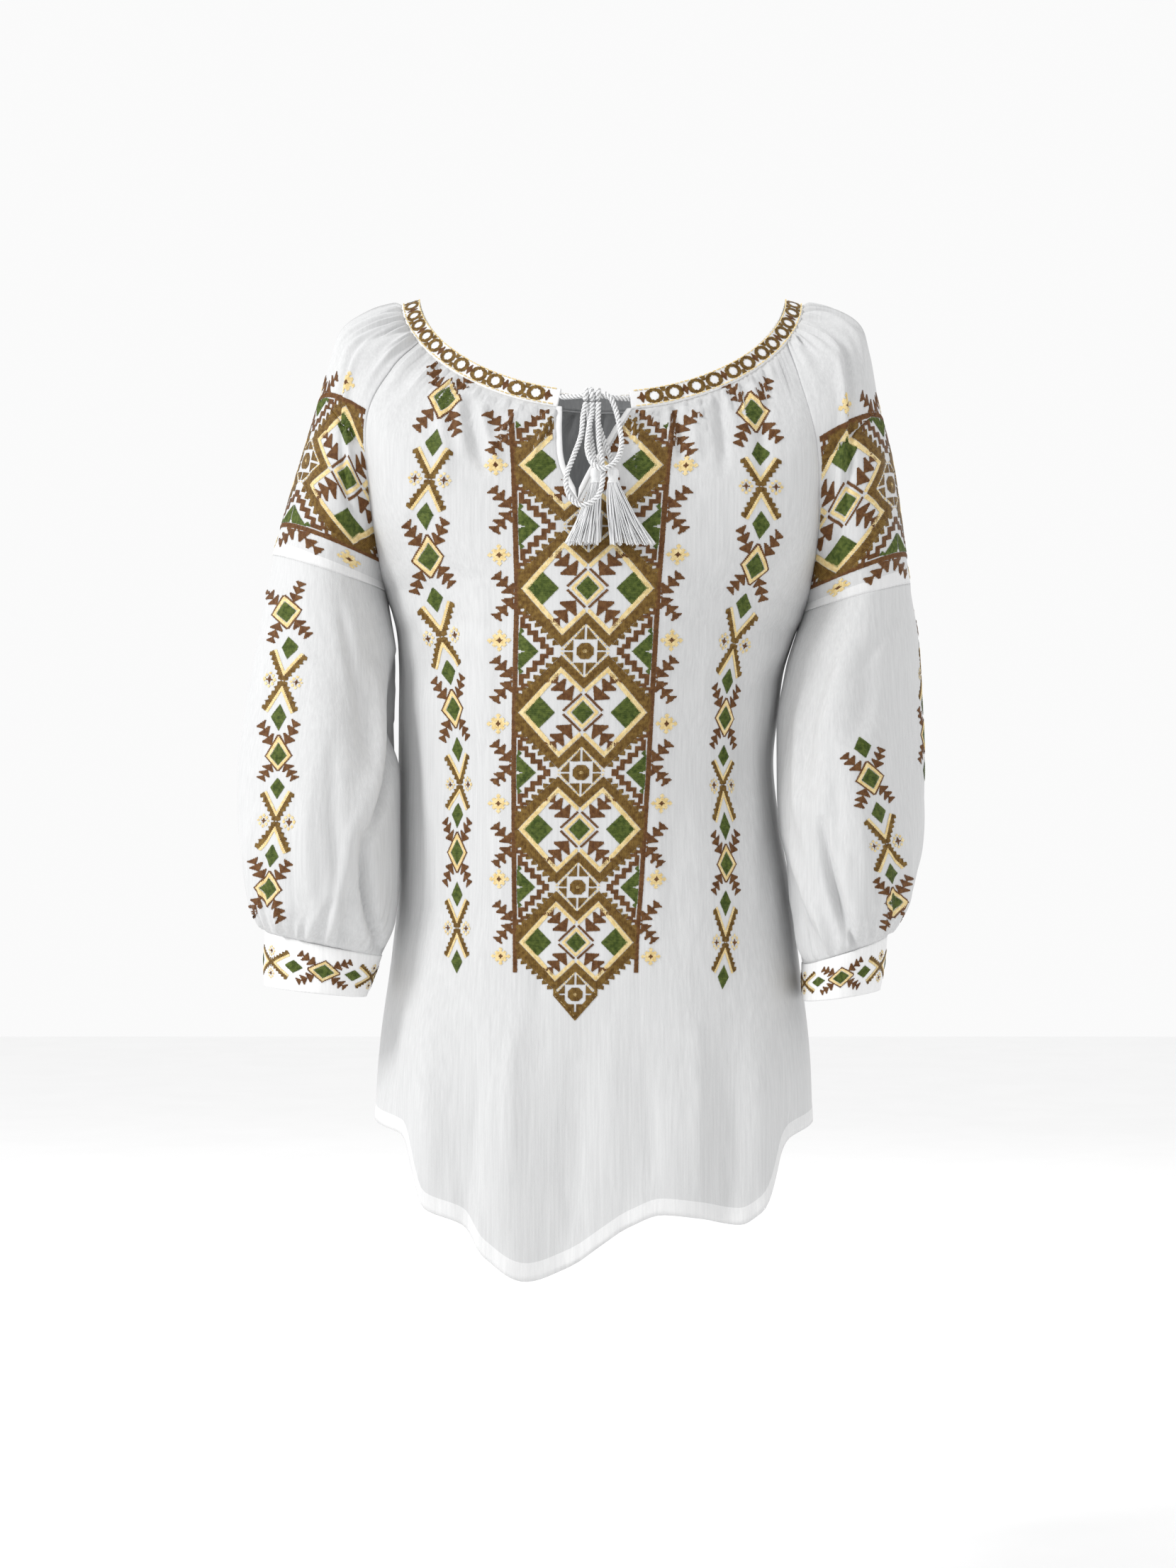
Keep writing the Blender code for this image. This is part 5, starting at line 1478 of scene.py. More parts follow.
def leaves(colour, x0, y0, x1, y1, rows):
    """A stem with pairs of barbed leaves. rows gives each pair's place along the stem and its size."""
    length = math.hypot(x1 - x0, y1 - y0)
    dx, dy = (x1 - x0) / length, (y1 - y0) / length
    shapes = [(colour, line(x0, y0, x1, y1, 1.7), abs(dy) > abs(dx))]
    for place, size in rows:
        for turn in (1, -1):
            px, py = -dy * turn, dx * turn
            points = []
            for a, b in BARB:
                out = place + a * size
                points.append((x0 + dx * out + px * b * size, y0 + dy * out + py * b * size))
            shapes.append((colour, points, turn > 0))
    return shapes


def frame_motif():
    """The double diamond with its three green diamonds and its four branches, centred on 0, 0."""
    quarter = [
        ("bronze", [(43.6, 0), (15.6, -33.2), (15.6, -41.0), (46, -9.0), (46, 0)], True),
        ("bronze", [(15.6, -33.2), (0, -17.0), (0, -24.8), (15.6, -41.0)], True),
        ("cream", [(43.0, 0), (15.6, -32.6), (15.4, -28.6), (38.4, 0)], True),
        ("cream", [(15.2, -32.2), (0.3, -16.4), (1.8, -14.4), (15.0, -28.2)], True),
        ("rust", line(1.2, -13.6, 13.2, -1.2, 1.6), True),
    ]
    quarter += teeth("bronze", 17.5, -39.4, 45.6, -9.6, 7, 3.6)
    quarter += leaves("rust", 7.4, -8.8, 20.6, -24.4, ((0.6, 7.4), (8.9, 6.6), (16.3, 5.2)))
    shapes = mirrored(quarter, True, True)
    shapes += mirrored([("green", diamond(10.6, 11.6, 29.4, 0), False)], True, False)
    shapes.append(("green", diamond(7.4, 8.2), False))
    shapes += mirrored([("cream", [(8.4, 0), (0, -9.2), (0, -12.0), (11.0, 0)], True)], True, True)
    return shapes


def eye_motif():
    """The dark diamond between two frames, with a light cross and ring and a rosette."""
    quarter = [
        ("bronze", [(0.7, -17.0), (0.7, -8.4), (7.6, -8.4)], True),
        ("bronze", [(8.2, -7.9), (8.2, -0.7), (14.4, -0.7)], True),
    ]
    for k in range(7):
        share = (k + 0.25) / 7
        x, y = 0.4 + 15.6 * share, -18.6 + 18.2 * share
        quarter.append(("cream", line(x, y, x + 1.3, y + 1.5, 0.8), True))
    shapes = mirrored(quarter, True, True)
    right = [(2.6, -5.6), (5.4, -2.6), (5.4, 2.6), (2.6, 5.6)]
    left = [(-2.6, 5.6), (-5.4, 2.6), (-5.4, -2.6), (-2.6, -5.6)]
    shapes.append(("bronze", right + left, True))
    shapes.append(("cream", diamond(1.7, 1.7), False))
    return shapes


def side_motif():
    """The green triangle on the right border line with its zigzags; the left one mirrors it."""
    half = [
        ("green", [(44.2, -13.6), (31.0, 0), (40.0, 0), (44.2, -1.4)], False),
        ("green", [(43.6, -17.2), (40.6, -14.2), (43.6, -11.6)], False),
    ]
    half += stairs("rust", 42.0, -22.6, 24.0, -3.4, 4, 3.1)
    half += stairs("rust", 44.4, -29.6, 36.6, -24.2, 2, 2.2)
    half.append(("rust", block(20.6, -2.6, 26.0, 0), True))
    shapes = mirrored(half, False, True)
    return mirrored(shapes, True, False)


def border_motifs(first, last, flowers, sprays):
    """The two border lines from first to last, with what grows on their outer sides."""
    rows = ((1.2, 5.6), (7.8, 5.3), (14.0, 4.4))
    shapes = mirrored([("rust", block(44.6, first, 47.8, last), False)], True, False)
    for y in flowers:
        shapes += mirrored(moved(flower(), 57.0, y), True, False)
    for y in sprays:
        upper = leaves("rust", 48.0, y - 0.8, 60.0, y - 15.5, rows)
        lower = leaves("rust", 48.0, y + 0.8, 60.0, y + 15.5, rows)
        shapes += mirrored(upper + lower, True, False)
    return shapes


# The narrow stripe's chart, in millimetres; y runs along the stripe, and its four motifs repeat
STRIPE_REPEAT = 120.0
STRIPE_ORDER = (("star", 0.0), ("green", 33.0), ("cross", 62.0), ("green", 91.0))


def star_motif():
    """A yellow-edged green diamond with four branches."""
    quarter = [
        ("rust", line(13.2, 0.6, 0.5, -15.8, 1.4), True),
        ("cream", [(12.4, 0), (0, -14.8), (0, -10.6), (9.0, 0)], True),
    ]
    shapes = mirrored(quarter, True, True)
    shapes.append(("green", diamond(8.2, 9.7), False))
    shapes += mirrored(leaves("rust", 7.0, -8.6, 16.6, -25.0, ((0.2, 6.4), (7.3, 6.0), (14.0, 4.8))), True, True)
    return shapes


def cross_motif():
    """Two crossing strokes with pale inner edges, and a small flower on each side."""
    quarter = [
        ("bronze", line(0.2, -0.6, 14.6, -24.0, 3.4), True),
        ("cream", line(-0.6, -5.0, 11.9, -25.4, 2.2), True),
    ]
    quarter += teeth("bronze", 1.8, -0.4, 16.4, -23.6, 6, -2.0)
    shapes = mirrored(quarter, True, True)
    star = ((4.0, 0), (1.1, 1.2), (0, 4.4), (-1.1, 1.2), (-4.0, 0), (-1.1, -1.2), (0, -4.4), (1.1, -1.2))
    small = [("rust", [(0.8 * x, 0.8 * y) for x, y in star], False)]
    small += [("cream", diamond(1.5, 1.6, sx * 2.9, sy * 3.1), False) for sx in (1, -1) for sy in (1, -1)]
    petals = ((1, 0), (-1, 0), (0, 1), (0, -1))
    small += [("cream", diamond(1.5, 1.5, 4.6 * x, 5.0 * y), False) for x, y in petals]
    return shapes + mirrored(moved(small, 12.2, 0.0), True, False)


def motif(kind):
    """One motif of a narrow stripe."""
    if kind == "star":
        return star_motif()
    if kind == "cross":
        return cross_motif()
    return [("green", diamond(7.4, 10.2), False)]


def stripe(first, last, start=0.0):
    """A stripe's motifs from one number to another, counted from the first star."""
    shapes = []
    for number in range(first, last):
        kind, place = STRIPE_ORDER[number % 4]
        shapes += moved(motif(kind), 0, start + place + STRIPE_REPEAT * (number // 4))
    return shapes


def along_table(table, column):
    """A reader of one column of a table that goes on straight past its ends."""
    data = np.array(table, dtype=float)

    def reader(at):
        at = np.asarray(at, dtype=float)
        inside = np.interp(at, data[:, 0], data[:, column])
        first = (data[1, column] - data[0, column]) / (data[1, 0] - data[0, 0])
        last = (data[-1, column] - data[-2, column]) / (data[-1, 0] - data[-2, 0])
        inside = np.where(at < data[0, 0], data[0, column] + (at - data[0, 0]) * first, inside)
        return np.where(at > data[-1, 0], data[-1, column] + (at - data[-1, 0]) * last, inside)

    return reader


# The real size of one unit of the central chart, and of the stripes' charts
CHART_UNIT = 0.00114
MILLIMETRE = 0.001

# About how deep the cloth lies behind the photo's centre, stripes and sleeves, and how low the
# underarm is, for a first guess of a place on the cloth
FRONT_DEPTH = -0.121
STRIPE_DEPTH = -0.10
SLEEVE_DEPTH = -0.03
UNDERARM_GUESS = -0.235

# Where the central chart lies in the photo. Columns: chart y, photo y, left line x, right line x
CENTRE_TABLE = (
    (-132.0, 572.0, 720.0, 952.0),
    (-88.0, 655.0, 725.0, 942.0),
    (0.0, 830.0, 730.0, 928.0),
    (44.0, 919.0, 728.0, 923.0),
    (88.0, 1005.0, 726.0, 918.0),
    (132.0, 1090.0, 725.0, 914.0),
    (176.0, 1170.0, 725.5, 909.0),
    (220.0, 1252.0, 726.0, 904.0),
    (264.0, 1330.0, 727.0, 898.0),
    (308.0, 1403.0, 727.0, 896.0),
)

# Along the central chart: where it is cut off, its border lines, and the flowers and sprays on them
CENTRE_TOP = -131.5
CENTRE_BORDER = (-131.0, 290.0)
FLOWERS = (-88.0, -24.0, 36.0, 96.0, 156.0, 214.0, 276.0)
SPRAYS = (-112.0, -56.0, 5.0, 64.0, 125.0, 188.0, 248.0)

# The front's narrow stripes. Columns: chart y, photo x, photo y, millimetres shown per chart millimetre
LEFT_STRIPE = (
    (0.0, 627.0, 563.0, 1.0),
    (33.0, 613.0, 627.0, 0.96),
    (62.0, 607.0, 677.0, 0.94),
    (91.0, 600.0, 727.0, 0.94),
    (120.0, 603.0, 787.0, 0.94),
    (153.0, 613.0, 843.0, 0.86),
    (182.0, 623.0, 897.0, 0.76),
    (211.0, 630.0, 947.0, 0.68),
    (240.0, 637.0, 1000.0, 0.64),
    (273.0, 643.0, 1057.0, 0.60),
    (302.0, 647.0, 1107.0, 0.58),
    (326.0, 645.0, 1140.0, 0.58),
    (360.0, 645.0, 1203.0, 0.58),
    (393.0, 645.0, 1263.0, 0.58),
    (422.0, 645.0, 1310.0, 0.58),
    (451.0, 645.0, 1357.0, 0.58),
)
RIGHT_STRIPE = (
    (0.0, 1063.0, 580.0, 1.0),
    (33.0, 1073.0, 640.0, 0.98),
    (62.0, 1073.0, 687.0, 0.96),
    (91.0, 1073.0, 740.0, 0.94),
    (120.0, 1065.0, 800.0, 0.90),
    (153.0, 1050.0, 853.0, 0.80),
    (182.0, 1037.0, 907.0, 0.72),
    (211.0, 1027.0, 960.0, 0.66),
    (240.0, 1023.0, 1013.0, 0.62),
    (273.0, 1021.0, 1067.0, 0.60),
    (302.0, 1020.0, 1107.0, 0.58),
    (331.0, 1023.0, 1167.0, 0.58),
    (360.0, 1025.0, 1220.0, 0.58),
    (393.0, 1023.0, 1273.0, 0.58),
    (422.0, 1023.0, 1330.0, 0.58),
    (446.0, 1020.0, 1370.0, 0.58),
)

# The sleeves' front stripes, with the same columns
LEFT_SLEEVE_STRIPE = (
    (0.0, 410.0, 867.0, 0.95),
    (33.0, 417.0, 917.0, 0.95),
    (62.0, 407.0, 963.0, 0.95),
    (91.0, 401.0, 1013.0, 0.95),
    (120.0, 401.0, 1067.0, 0.95),
    (153.0, 400.0, 1110.0, 0.95),
    (182.0, 399.0, 1157.0, 0.95),
    (211.0, 393.0, 1205.0, 0.92),
    (240.0, 390.0, 1250.0, 0.88),
)
RIGHT_SLEEVE_STRIPE = (
    (-29.0, 1206.0, 1056.0, 0.92),
    (0.0, 1217.0, 1099.0, 0.92),
    (33.0, 1229.0, 1145.0, 0.90),
    (62.0, 1241.0, 1188.0, 0.88),
    (91.0, 1248.0, 1230.0, 0.84),
    (120.0, 1251.0, 1269.0, 0.78),
    (150.0, 1250.0, 1310.0, 0.70),
)

# Each sleeve's front stripe by its first and last motif, and its outer stripe by its u and its motifs
SLEEVE_STRIPES = {LEFT: (0, 9, 0.42, 9), RIGHT: (-1, 5, 0.10, 6)}


# How far the threads stay from the slit's edges, in u
SLIT_CLEAR = 0.016


def outside_slit(threads, place):
    """The threads, cut back where they reach into the slit."""
    shares = np.linspace(0, 1, 25)[None, :]
    x = threads[:, 0:1] + (threads[:, 2:3] - threads[:, 0:1]) * shares
    y = threads[:, 1:2] + (threads[:, 3:4] - threads[:, 1:2]) * shares
    u, v = place(x, y)
    levels = np.linspace(0, SLIT_ROWS / UPPER_ROWS, 60)
    low = np.interp(v, levels, [slit_edge(LEFT, level) for level in levels]) - SLIT_CLEAR
    high = np.interp(v, levels, [slit_edge(RIGHT, level) for level in levels]) + SLIT_CLEAR
    free = (v > levels[-1] + 0.01) | (u < low) | (u > high)
    kept = [threads[free.all(axis=1)]]
    for row, open_spots, xs, ys in zip(*(part[~free.all(axis=1)] for part in (threads, free, x, y))):
        spots = np.where(open_spots)[0]
        for group in np.split(spots, np.where(np.diff(spots) > 1)[0] + 1):
            if len(group) > 1:
                kept.append([[xs[group[0]], ys[group[0]], xs[group[-1]], ys[group[-1]], row[4]]])
    return np.vstack(kept)


def looked_up(place, threads, spacing=1.5):
    """The same place function, read from a lattice of chart points, which is far quicker."""
    low = threads[:, [0, 1]].min(axis=0) - 2 * spacing
    high = threads[:, [2, 3]].max(axis=0) + 2 * spacing
    xs = np.arange(low[0], high[0] + spacing, spacing)
    ys = np.arange(low[1], high[1] + spacing, spacing)
    found = place(*(grid.ravel() for grid in np.meshgrid(xs, ys)))
    grids = [part.reshape(len(ys), len(xs)) for part in found]

    def quick(x, y):
        i = np.clip(((x - low[0]) / spacing).astype(int), 0, len(xs) - 2)
        j = np.clip(((y - low[1]) / spacing).astype(int), 0, len(ys) - 2)
        a, b = (x - low[0]) / spacing - i, (y - low[1]) / spacing - j
        upper = [g[j, i] * (1 - a) + g[j, i + 1] * a for g in grids]
        lower = [g[j + 1, i] * (1 - a) + g[j + 1, i + 1] * a for g in grids]
        return tuple(one * (1 - b) + other * b for one, other in zip(upper, lower))

    return quick


def front_guess(z):
    """A first guess of how far down a front panel's place at a height is."""
    return np.where(z > UNDERARM_GUESS, 0.6, 1.3)


def centre_embroidery():
    """The wide panel down the front."""
    sheet = SHEETS["front_panel"]
    photo_y, left, right = (along_table(CENTRE_TABLE, k) for k in (1, 2, 3))

    def place(x, y):
        px = left(y) + (right(y) - left(y)) * ((x / HALF + 1) / 2)
        wx, wz = from_photo(px, photo_y(y), FRONT_DEPTH)
        return sheet.find(wx, wz, 0.0, front_guess(wz))

    shapes = []
    for k in range(-1, 4):
        shapes += moved(frame_motif(), 0, k * REPEAT)
    for k in range(-2, 4):
        shapes += moved(eye_motif(), 0, k * REPEAT + REPEAT / 2)
    for k in range(-2, 3):
        shapes += moved(side_motif(), 0, k * REPEAT + REPEAT / 2)
    shapes += border_motifs(*CENTRE_BORDER, FLOWERS, SPRAYS)
    point = [("bronze", [(17.0, -6.0), (0, 15.5), (0, 22.5), (17.0, 1.0)], True)]
    shapes += moved(mirrored(point, True, False), 0, 308.0)
    shapes = [shape for shape in shapes if min(y for _, y in shape[1]) > CENTRE_TOP]
    threads = fill(shapes, PITCH / CHART_UNIT)
    quick = looked_up(place, threads)
    threads = outside_slit(threads, quick)
    return thread_object("embroidery_centre", sheet, threads, CHART_UNIT, quick, "band")


def stripe_threads(name, sheet, table, first, last, u_guess, v_guess, depth):
    """A narrow stripe that follows a path in the photo, without what would be torn out of shape."""
    px_at, py_at, width_at = (along_table(table, k) for k in (1, 2, 3))
    threads = fill(stripe(first, last), PITCH / MILLIMETRE)

    def place(x, y):
        wx, wz = from_photo(px_at(y), py_at(y), depth)
        aside = x * MILLIMETRE * width_at(y)
        slope = (px_at(y + 1.0) - px_at(y - 1.0)) / np.maximum(py_at(y + 1.0) - py_at(y - 1.0), 0.5)
        wz = wz + aside * np.clip(slope, -0.5, 0.5) * 0.8
        return sheet.find(wx + aside, wz, u_guess, v_guess(wz))

    quick = looked_up(place, threads)
    starts = sheet.at(*quick(threads[:, 0], threads[:, 1]))
    ends = sheet.at(*quick(threads[:, 2], threads[:, 3]))
    most = 2.2 * thread_lengths(threads) * MILLIMETRE + MILLIMETRE
    threads = threads[np.linalg.norm(ends - starts, axis=1) < most]
    return thread_object(name, sheet, threads, MILLIMETRE, quick, "band")


# The outer stripe of a sleeve: its chart's scale, its first motif, and the sleeve's girth and length
OUTER_SCALE = 0.9
OUTER_START = 12.0
OUTER_GIRTH = 0.37
OUTER_LENGTH = 0.30
OUTER_TOP = 0.04


def outer_stripe(name, sheet, count, at):
    """A narrow stripe laid straight down the outside of a lower sleeve."""
    threads = fill(moved(stripe(0, count, OUTER_START), 0, 0, OUTER_SCALE), PITCH / MILLIMETRE)

    def place(x, y):
        return at + x * MILLIMETRE / OUTER_GIRTH * 2, OUTER_TOP + y * MILLIMETRE / OUTER_LENGTH

    return thread_object(name, sheet, threads, MILLIMETRE, place, "band")


# Each upper sleeve's band: where its top and its end lie at the raglan seams, each with how much
# lower it is outside; then how far the chart is shifted, its limits, its girth and what grows on it
SLEEVE_BAND = {LEFT: (0.335, 0.15, 0.835, 0.07), RIGHT: (0.375, 0.13, 0.865, 0.05)}
BAND_SHIFT = 21.0
BAND_LIMIT = 87.0
BAND_GIRTH = 0.205
BAND_FLOWERS = (-62.0, 0.0, 62.0)
BAND_SPRAYS = (-30.0, 31.0)


def sleeve_band(side):
    """The wide panel round an upper sleeve, turned by a quarter."""
    sheet = SHEETS["sleeve_upper_" + SIDE_WORD[side]]
    top_v, top_rise, end_v, end_rise = SLEEVE_BAND[side]

    def place(x, y):
        u = np.clip(y * CHART_UNIT / BAND_GIRTH * 2, -0.985, 0.985)
        top = top_v + top_rise * (1 - np.abs(u))
        end = end_v + end_rise * (1 - np.abs(u))
        return u, np.clip(top + (x / HALF + 1) / 2 * (end - top), 0.02, 0.985)

    shapes = []
    for k in (-1, 0, 1):
        shapes += moved(frame_motif(), 0, k * REPEAT + BAND_SHIFT)
    for k in (-2, -1, 0, 1):
        shapes += moved(eye_motif(), 0, k * REPEAT + REPEAT / 2 + BAND_SHIFT)
        shapes += moved(side_motif(), 0, k * REPEAT + REPEAT / 2 + BAND_SHIFT)
    shapes += border_motifs(-BAND_LIMIT, BAND_LIMIT, BAND_FLOWERS, BAND_SPRAYS)
    threads = fill(shapes, PITCH / CHART_UNIT)
    threads[:, 1] = np.maximum(threads[:, 1], -BAND_LIMIT)
    threads[:, 3] = np.minimum(threads[:, 3], BAND_LIMIT)
    inside = (np.abs(threads[:, 1]) <= BAND_LIMIT) & (threads[:, 3] >= threads[:, 1])
    threads = threads[inside & (thread_lengths(threads) > 0.4)]
    name = "embroidery_sleeve_" + SIDE_WORD[side]
    return thread_object(name, sheet, threads, CHART_UNIT, place, "band")


# The neckband's chart, in millimetres: how far apart its pairs of rings are, the band's length, and
# the pale dashes along both edges
PAIR_PITCH = 26.0
NECKBAND_LENGTH = 0.664
DASH_PITCH = 3.2
DASH_LENGTH = 2.4
DASH_PLACES = (-6.4, 6.4)


def band_embroidery():
    """The neckband's rings in pairs, with a dark star between two pairs and pale dashes beside them."""
    shapes = []
    count = int(NECKBAND_LENGTH / MILLIMETRE / PAIR_PITCH)
    start = -(count - 1) / 2 * PAIR_PITCH
    outer, inner = [(5.4, 0), (4.9, -3.4), (2.8, -5.5), (0, -6.0)], [(0, -3.7), (1.9, -2.9), (3.0, 0)]
    ring = mirrored([("bronze", [*outer, *inner], False)], True, True)
    star = mirrored([("rust", [(0, -5.2), (1.2, -1.6), (3.4, 0), (0, 0)], False)], True, True)
    wedge = mirrored([("bronze", [(-1.9, -6.0), (1.9, -6.0), (0.5, -2.0), (-0.5, -2.0)], False)], False, True)
    for i in range(count):
        at = start + i * PAIR_PITCH
        shapes += moved(ring, at - 6.0, 0) + moved(ring, at + 6.0, 0) + moved(wedge, at, 0)
        shapes += moved(star, at + PAIR_PITCH / 2, 0) if i < count - 1 else []
    for end in (start - PAIR_PITCH / 2, -start + PAIR_PITCH / 2):
        shapes += moved(star, end, 0)
    reach = NECKBAND_LENGTH * 500 - 3
    for x in np.arange(-reach, reach, DASH_PITCH):
        for y in DASH_PLACES:
            shapes.append(("cream", block(x, y - 0.5, x + DASH_LENGTH, y + 0.5), True))

    def place(x, y):
        across = np.clip(x * MILLIMETRE / NECKBAND_LENGTH * 2, -0.997, 0.997)
        return across, 0.47 + y * MILLIMETRE / BAND_HEIGHT

    threads = fill(shapes, NECKBAND_PITCH / MILLIMETRE)
    sheet = SHEETS["neckband"]
    return thread_object("embroidery_neckband", sheet, threads, MILLIMETRE, place, "band", NECKBAND_PITCH)


# The cuff's stripe: its width as a share of the cuff's, its chart's full width and step, and which
# motif it starts with
CUFF_STRIPE_SHARE = 0.92
CUFF_CHART_WIDTH = 54
CUFF_CHART_STEP = 30
CUFF_FIRST_MOTIF = 2


def cuff_embroidery(side):
    """The cuff's narrow stripe, laid round it."""
    sheet = SHEETS["cuff_" + SIDE_WORD[side]]
    middle = sheet.base(np.linspace(-1, 1, 200), np.full(200, 0.5))
    length = float(np.linalg.norm(np.diff(middle, axis=0), axis=1).sum())
    height = float(np.linalg.norm(sheet.base(0.0, 1.0) - sheet.base(0.0, 0.0)))
    scale = CUFF_STRIPE_SHARE * height * 1000 / CUFF_CHART_WIDTH
    count = max(int(round(length * 1000 / (CUFF_CHART_STEP * scale))), 4)
    step = length * 1000 / count
    shapes = []
    for i in range(count):
        kind = STRIPE_ORDER[(i + CUFF_FIRST_MOTIF) % 4][0]
        shapes += moved(motif(kind), 0, (i + 0.5) * step / scale)
    threads = fill(moved(shapes, 0, 0, scale), PITCH / MILLIMETRE)

    def place(x, y):
        around = np.clip(-1 + y * MILLIMETRE / length * 2, -1, 1)
        return around, np.clip(0.52 + x * MILLIMETRE / height, 0.04, 0.97)

    name = "embroidery_cuff_" + SIDE_WORD[side]
    return thread_object(name, sheet, threads, MILLIMETRE, place, "cuff")


# The binding: its points down and across, how far it reaches over the slit's edge, its roundness,
# and how wide it is at the least
BINDING_POINTS = (64, 9)
BINDING_OVERLAP = 0.35
BINDING_RISE = 0.0007
BINDING_LEAST = 0.0008


def binding():
    """The white strip folded over both edges of the slit, from the neckband down and up again."""
    sheet = SHEETS["front_panel"]
    downs, acrosses = BINDING_POINTS
    shares = np.linspace(-BINDING_OVERLAP, 1.0, acrosses)
    lift = BINDING_RISE * np.sin(math.pi * np.linspace(0, 1, acrosses)) ** 0.6
    stations = []
    for side in (LEFT, RIGHT):
        rows = []
        for down in np.linspace(0.0, SLIT_ROWS / UPPER_ROWS, downs):
            here = slit_edge(side, down)
            edge = sheet.at(here, down)
            middle = sheet.at((here + slit_edge(-side, down)) / 2, down)
            room = float(np.linalg.norm(middle - edge))
            toward = (middle - edge) / max(room, 1e-6)
            width = max(min(BINDING_WIDTH, BINDING_SHARE * room), BINDING_LEAST)
            normal = sheet.normal(here, down)
            rows.append([edge + toward * width * share + normal * rise for share, rise in zip(shares, lift)])
        stations.append(rows)
    points = stations[0] + stations[1][::-1]
    made = grid_object("slit_binding_cloth", grid_faces(len(points), acrosses, False), points)
    if sum(polygon.normal[1] for polygon in made.data.polygons) > 0:
        made.data.flip_normals()
    walled(made)
    return dress(made, ("firm",), "binding", "slit_binding")


# The cord: the lay of its three strands, where they lie and how thick they are as shares of its
# radius, how deep its grooves go and where the painted shade in them starts, and the rings of its mesh
STRAND_LAY = 0.0100
STRAND_CENTRE = 0.536
STRAND_RADIUS = 0.464
GROOVE_DEPTH = 0.66
GROOVE_SHADE_START = 0.80
RING_STEP = 0.0008
RING_SIDES = 20
CORD_MATERIALS = ("cord", "groove_painted_shade")


def lobes(turn):
    """The outline of three round strands laid together, as a share of the cord's radius."""
    away = np.mod(turn, 2 * math.pi / 3) - math.pi / 3
    inside = np.maximum(STRAND_RADIUS**2 - (STRAND_CENTRE * np.sin(away)) ** 2, 0.0)
    return np.maximum(STRAND_CENTRE * np.cos(away) + np.sqrt(inside), GROOVE_DEPTH)


def frames_along(points):
    """Two directions across a path at each point, turned as little as possible."""
    tangent = unit(np.gradient(points, axis=0))
    first = unit(np.cross(tangent[0], [0.3, 0.9, 0.2]))
    sides = []
    for t in tangent:
        first = first - t * np.dot(first, t)
        first = first / np.linalg.norm(first)
        sides.append((first, np.cross(t, first)))
    return np.array([s[0] for s in sides]), np.array([s[1] for s in sides])


def twisted_cord(name, places, radius=CORD_DIAMETER / 2):
    """A mesh tube of three laid strands along a smooth curve, with painted shade in its grooves."""
    route = Route(places)
    count = max(int(route.length / RING_STEP), 8)
    points = route.at(np.linspace(0, 1, count))
    one, other = frames_along(points)
    reach = np.linspace(0, route.length, count)
    turn = np.linspace(0, 2 * math.pi, RING_SIDES, endpoint=False)
    size = radius * lobes(turn[None, :] - reach[:, None] / STRAND_LAY * 2 * math.pi)
    sideways = one[:, None] * (size * np.cos(turn))[..., None]
    upwards = other[:, None] * (size * np.sin(turn))[..., None]
    ring = points[:, None] + sideways + upwards
    first = list(range(RING_SIDES))
    last = [(count - 1) * RING_SIDES + i for i in first]
    made = grid_object(name, grid_faces(count, RING_SIDES, True), ring, (first[::-1], last))
    middle = (size[:-1] + np.roll(size, -1, axis=1)[1:]) / 2
    # Faces sunk below this share of the radius get the painted groove shade
    groove_painted_shade = (middle < radius * GROOVE_SHADE_START).astype(np.int32).ravel()
    for material_name in CORD_MATERIALS:
        made.data.materials.append(material_of(material_name))
    made.data.polygons.foreach_set("material_index", np.concatenate([groove_painted_shade, [0, 0]]).astype(np.int32))
    return made, route


def make_cords():
    """The bow's loops and tails as cords, with the tassels at the tails' ends."""
    tassels = {side: tassel(side) for side in (LEFT, RIGHT)}
    for name, places in CORD_ROUTES.items():
        made, route = twisted_cord(name + "_cord", places)
        dress(made, (), "cord", name)
        [tuple(point) for point in route.at(np.linspace(0, 1, 40)).tolist()]


# The knot's wraps. Columns: shift across, lean, half depth, half height
KNOT_WRAPS = (
    (-0.0046, 0.16, 0.0034, 0.0032),
    (-0.0004, -0.10, 0.0041, 0.0038),
    (0.0044, 0.14, 0.0034, 0.0032),
)
WRAP_RADIUS = CORD_DIAMETER / 2 * 1.04


def knot():
    """The drawstring's run between the band's ends, and the wraps of the bow's knot round it."""
    middle = np.array(KNOT_CENTRE)
    start = neckline(SLIT_LEFT_ANGLE, CORD_AT_BAND) + np.array(CORD_END_ROOM)
    end = neckline(SLIT_RIGHT_ANGLE, CORD_AT_BAND) - np.array(CORD_END_ROOM)
    behind = middle + np.array(CORD_BEHIND_KNOT)
    by_left = (start + behind) / 2 + np.array(CORD_SAG)
    by_right = (end + behind) / 2 + np.array(CORD_SAG)
    parts = [twisted_cord("neck_run", [start, by_left, behind, by_right, end])[0]]
    for number, (shift, lean, deep, high) in enumerate(KNOT_WRAPS):
        places = []
        for turn in 2 * math.pi * np.arange(17) / 16:
            y, z = deep * math.cos(turn), high * math.sin(turn)
            places.append(middle + np.array([shift + lean * z, y, z]))
        parts.append(twisted_cord(f"wrap_{number}", places, WRAP_RADIUS)[0])
    return dress(join(parts, "drawstring_knot_cord"), CORD_MATERIALS, "cord", "drawstring_knot")


def join(parts, name):
    """Several mesh objects as one."""
    work = bmesh.new()
    for part in parts:
        work.from_mesh(part.data)
    mesh = bpy.data.meshes.new(name)
    work.to_mesh(mesh)
    work.free()
    mesh.shade_smooth()
    for part in parts:
        bpy.data.objects.remove(part)
    return placed(name, mesh)


# A tassel's head: its mesh, where it is wound, the winding's pitch and rise, and its ribs
HEAD_RINGS = 46
HEAD_SIDES = 28
HEAD_TOP_RADIUS = 0.0006
WOUND = (0.0062, 0.0105)
WINDING = 0.0007
WINDING_RISE = 0.00030
RIBS = 14
RIB_SHARE = 0.035

